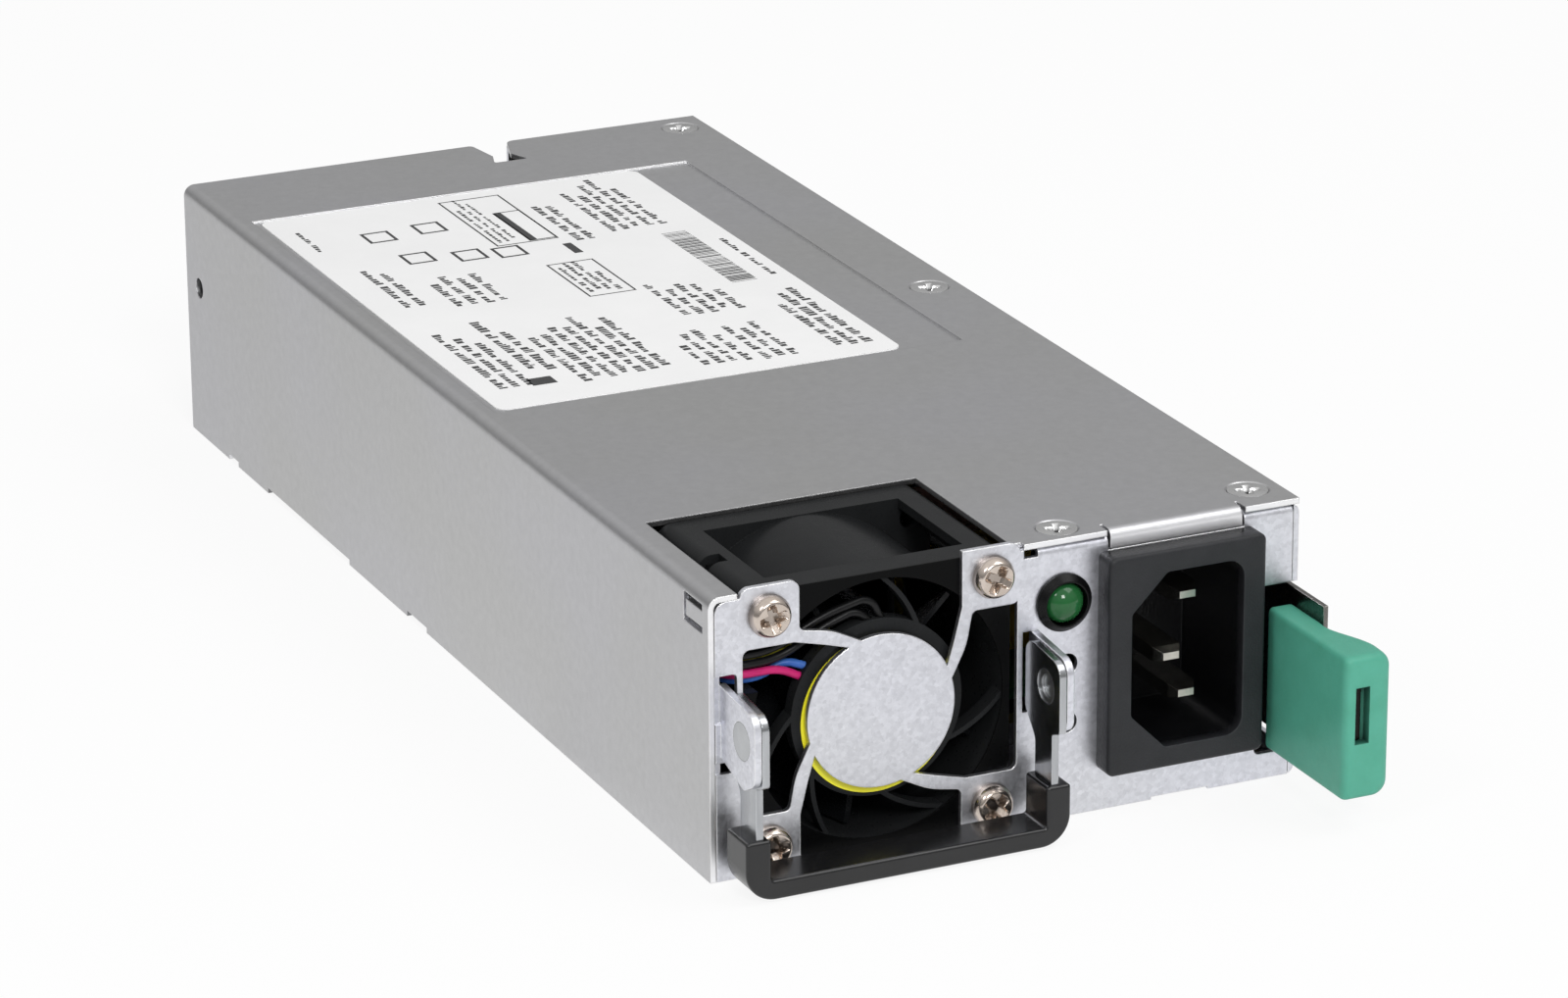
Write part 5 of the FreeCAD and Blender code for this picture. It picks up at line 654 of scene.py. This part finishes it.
for t in np.linspace(0, np.pi / 2, 6)[1:]:
    in_by = REAR_ROUND * (1 - np.cos(t))
    rows.append(section(long - REAR_ROUND + REAR_ROUND * np.sin(t), in_by, PLATE_WIDTH - in_by, in_by,
                        tall - in_by, NEAR, PLATE_FAR))
rows.append(pole(rows[-1]))

# the pocket lies in its own shade, so the finish is darkened where its walls stand within 3 mm of a point
shader = next(n for n in tab_plastic.node_tree.nodes if n.type == "BSDF_PRINCIPLED")
plain = shader.inputs["Base Color"].links[0].from_socket
shade = add(tab_plastic.node_tree, "AmbientOcclusion", {"Color": plain, "Distance": 3.0 * MM}, samples=8,
            only_local=True)
tab_plastic.node_tree.links.new(shade.outputs["Color"], shader.inputs["Base Color"])
grid_piece("thumb_tab", [np.array(rows)], tab_plastic, "latch", "latch_tab")

# %% [markdown]
# ## The label's print
# The real print names things, so here plain bars and empty frames of the same greyness stand for its lines.
# They run along the case, in columns of unequal length, as thin plates that stand a hundredth of a mm proud.

# %% Label print
low, high = box_mm("rating_label")
rng = np.random.default_rng(7)
BAR_GAP, GROUP_GAP = 0.25, 0.9       # mm after a bar, and more after a group
strips = []


def strip(x0, x1, y0, y1):
    """Keep one printed plate, from its sides in mm from the label's left and front edges."""
    strips.append((low[0] + x0, low[0] + x1, low[1] + y0, low[1] + y1))


def frame_strip(x0, x1, y0, y1, line=0.3):
    """An empty printed frame: four narrow plates."""
    strip(x0, x1, y0, y0 + line)
    strip(x0, x1, y1 - line, y1)
    strip(x0, x0 + line, y0 + line, y1 - line)
    strip(x1 - line, x1, y0 + line, y1 - line)


def line_of_print(x0, y0, reach, height):
    """One printed line: narrow bars in groups, until the reach is used up."""
    y = y0
    while y < y0 + reach:
        for bar in rng.uniform(0.35, 1.0, rng.integers(2, 8)):
            strip(x0, x0 + height * rng.choice([0.6, 0.8, 1.0]), y, y + bar)
            y += bar + BAR_GAP
        y += GROUP_GAP


# blocks of lines: first line's left side and start, reach, height of a line, step to the next line, lines
for x0, y0, reach, height, step, count in (
        (3.5, 7.0, 26.0, 1.3, 2.1, 3), (10.5, 13.0, 20.0, 1.5, 2.3, 2), (15.5, 6.0, 27.0, 1.3, 2.1, 7),
        (5.0, 46.0, 22.0, 1.2, 2.2, 2), (12.0, 44.0, 13.0, 1.3, 2.3, 4), (33.5, 4.0, 15.0, 1.2, 2.1, 4),
        (42.5, 3.0, 17.0, 1.2, 2.1, 3), (40.0, 26.0, 15.0, 1.2, 2.1, 5), (54.0, 4.5, 22.0, 1.4, 2.1, 3),
        (40.0, 66.0, 24.0, 1.2, 2.0, 2), (46.5, 67.0, 22.0, 1.2, 2.0, 5), (32.0, 42.0, 12.0, 0.8, 1.4, 4),
        (29.0, 70.0, 20.0, 0.6, 1.3, 3), (59.3, 38.0, 17.0, 0.9, 2.0, 1), (3.0, 76.0, 14.0, 0.8, 2.0, 1)):
    for row in range(count):
        line_of_print(x0 + step * row, y0 + rng.uniform(0, 2), reach * rng.uniform(0.65, 1.0), height)
# a row of bars of random widths
BAR_PITCH = 0.6
for k in range(44):
    y = 37.5 + BAR_PITCH * k
    strip(52.5, 56.5, y, y + rng.choice([0.15, 0.28, 0.42]))
# framed boxes, solid blocks and a group of small frames
frame_strip(31.0, 38.5, 40.5, 57.0)
frame_strip(28.0, 38.0, 68.5, 92.5)
frame_strip(33.5, 38.0, 69.0, 84.0)
strip(33.5, 34.8, 69.0, 84.0)
strip(37.2, 38.6, 60.5, 65.5)
strip(8.3, 12.0, 7.5, 10.5)
for x0, y0 in ((13.0, 66.0), (20.5, 64.0), (20.0, 79.0), (11.5, 78.0), (26.5, 63.0)):
    frame_strip(x0, x0 + 4.5, y0, y0 + 5.0, 0.5)

# %% Label print mesh
SUNK, PROUD = -0.02, 0.01            # mm from the label's face
sides = np.array(strips)
# eight corners of each plate: x from columns 0 and 1, y from columns 2 and 3, z just under and over the face
x = sides[:, [0, 1, 1, 0, 0, 1, 1, 0]]
y = sides[:, [2, 2, 3, 3, 2, 2, 3, 3]]
z = np.broadcast_to(high[2] + np.array([SUNK] * 4 + [PROUD] * 4), x.shape)
points = np.stack([x, y, z], -1).reshape(-1, 3) * MM
faces = np.array([[3, 2, 1, 0], [4, 5, 6, 7], [0, 1, 5, 4], [1, 2, 6, 5], [2, 3, 7, 6], [3, 0, 4, 7]])
faces = (faces[None] + 8 * np.arange(len(sides))[:, None, None]).reshape(-1, 4)
mesh = bpy.data.meshes.new("label_print")
mesh.from_pydata(points.tolist(), [], faces.tolist())
label_print = bpy.data.objects.new("label_print", mesh)
scene.collection.objects.link(label_print)
# wax ink laid on the film: a soft dark grey
mesh.materials.append(finish("ink_thermal_transfer_grey", "#3A3A3B", "#2E2E2F", 0.5, blotch=1.0))
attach(label_print, "case")
print("label plates", len(strips))

# %% [markdown]
# ## Floor, world and lights
# The floor and the background are white to the eye and in the metal. The lamps are plain square panels: one
# in front, a smaller one to the left, and a large one above on the right that catches the sheet edges.

# %% Floor
HALF = 3                             # m
BELOW = 0.0002                       # m under the case, so that no face of it lies in the floor
SHOWN = 0.88                         # share of plain white to the eye, and the rest takes the shadow
FALL_START, FALL_END, FALL_LEVEL = -0.06, 0.14, 0.84     # m along the table, and the level at the end
mesh = bpy.data.meshes.new("floor")
mesh.from_pydata([(-HALF, -HALF, 0), (HALF, -HALF, 0), (HALF, HALF, 0), (-HALF, HALF, 0)], [], [(0, 1, 2, 3)])
floor = bpy.data.objects.new("floor", mesh)
floor.location.z = float(cad_low.z) - BELOW
scene.collection.objects.link(floor)
white = bpy.data.materials.new("paper_white_floor")
white.use_nodes = True
tree = white.node_tree
tree.nodes.clear()
rays = add(tree, "LightPath").outputs
paper = add(tree, "BsdfDiffuse", {"Color": linear("#F8F8F8")})
spot = add(tree, "SeparateXYZ", {"Vector": add(tree, "TexCoord").outputs["Object"]})
# mirrored in the metal, the paper falls off a little towards the back of the table
falling = add(tree, "MapRange", {"Value": spot.outputs["Y"], "From Min": FALL_START, "From Max": FALL_END,
                                 "To Min": 1.0, "To Max": FALL_LEVEL}).outputs["Result"]
level = add(tree, "Math", {0: falling, 1: rays["Is Camera Ray"]}, operation="MAXIMUM").outputs["Value"]
glow = add(tree, "Emission", {"Color": (1, 1, 1, 1), "Strength": level}).outputs["Emission"]
# the glow is for rays that are seen straight, in a mirror or through glass
straight = add(tree, "Math", {0: rays["Is Camera Ray"], 1: rays["Is Glossy Ray"]}, operation="MAXIMUM")
seen = add(tree, "Math", {0: straight.outputs["Value"], 1: rays["Is Transmission Ray"]}, operation="MAXIMUM")
share = add(tree, "Math", {0: seen.outputs["Value"], 1: SHOWN}, operation="MULTIPLY").outputs["Value"]
both = add(tree, "MixShader", {"Fac": share, 1: paper.outputs["BSDF"], 2: glow})
add(tree, "OutputMaterial", {"Surface": both.outputs["Shader"]})
mesh.materials.append(white)
floor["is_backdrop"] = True
print("floor", 2 * HALF, "m wide at z", round(floor.location.z / MM, 2), "mm")

# %% World and lamps
ROOM_LOW, ROOM_HIGH = 0.17, 0.88     # the room as the metal mirrors it, level with the case and overhead
FILL = 0.5                           # the room as a light
world = bpy.data.worlds.new("studio")
scene.world = world
world.use_nodes = True
tree = world.node_tree
tree.nodes.clear()
rays = add(tree, "LightPath").outputs
height = add(tree, "SeparateXYZ", {"Vector": add(tree, "TexCoord").outputs["Generated"]})
room = add(tree, "MapRange", {"Value": height.outputs["Z"], "From Max": 0.9, "To Min": ROOM_LOW,
                              "To Max": ROOM_HIGH}).outputs["Result"]
mirrored = add(tree, "Math", {0: rays["Is Glossy Ray"], 1: rays["Is Transmission Ray"]},
               operation="MAXIMUM").outputs["Value"]
lit = add(tree, "MapRange", {"Value": mirrored, "To Min": FILL, "To Max": room}).outputs["Result"]
strength = add(tree, "Math", {0: lit, 1: rays["Is Camera Ray"]}, operation="MAXIMUM").outputs["Value"]
sky = add(tree, "Background", {"Color": (1, 1, 1, 1), "Strength": strength})
add(tree, "OutputWorld", {"Surface": sky.outputs["Background"]})


def lamp(name, place, size, power):
    """A square panel lamp that faces the middle of the case."""
    data = bpy.data.lights.new(name, "AREA")
    data.shape = "SQUARE"
    data.size = size
    data.energy = power
    made = bpy.data.objects.new(name, data)
    made.location = place
    made.rotation_mode = "QUATERNION"
    made.rotation_quaternion = (Vector((0, 0, 0.02)) - Vector(place)).to_track_quat("-Z", "Y")
    scene.collection.objects.link(made)
    print(name, size, "m wide,", power, "W")


lamp("panel_front", (-0.23, -1.29, 0.92), 0.4, 9.0)
lamp("panel_left", (-1.01, -0.59, 1.09), 0.3, 2.5)
lamp("panel_top", (0.75, -0.63, 1.51), 0.9, 7.0)
scene.view_settings.view_transform = "Standard"

# %% Measure and finish
low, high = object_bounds()
print("visual size in mm", [round((b - a) / MM, 2) for a, b in zip(low, high)])
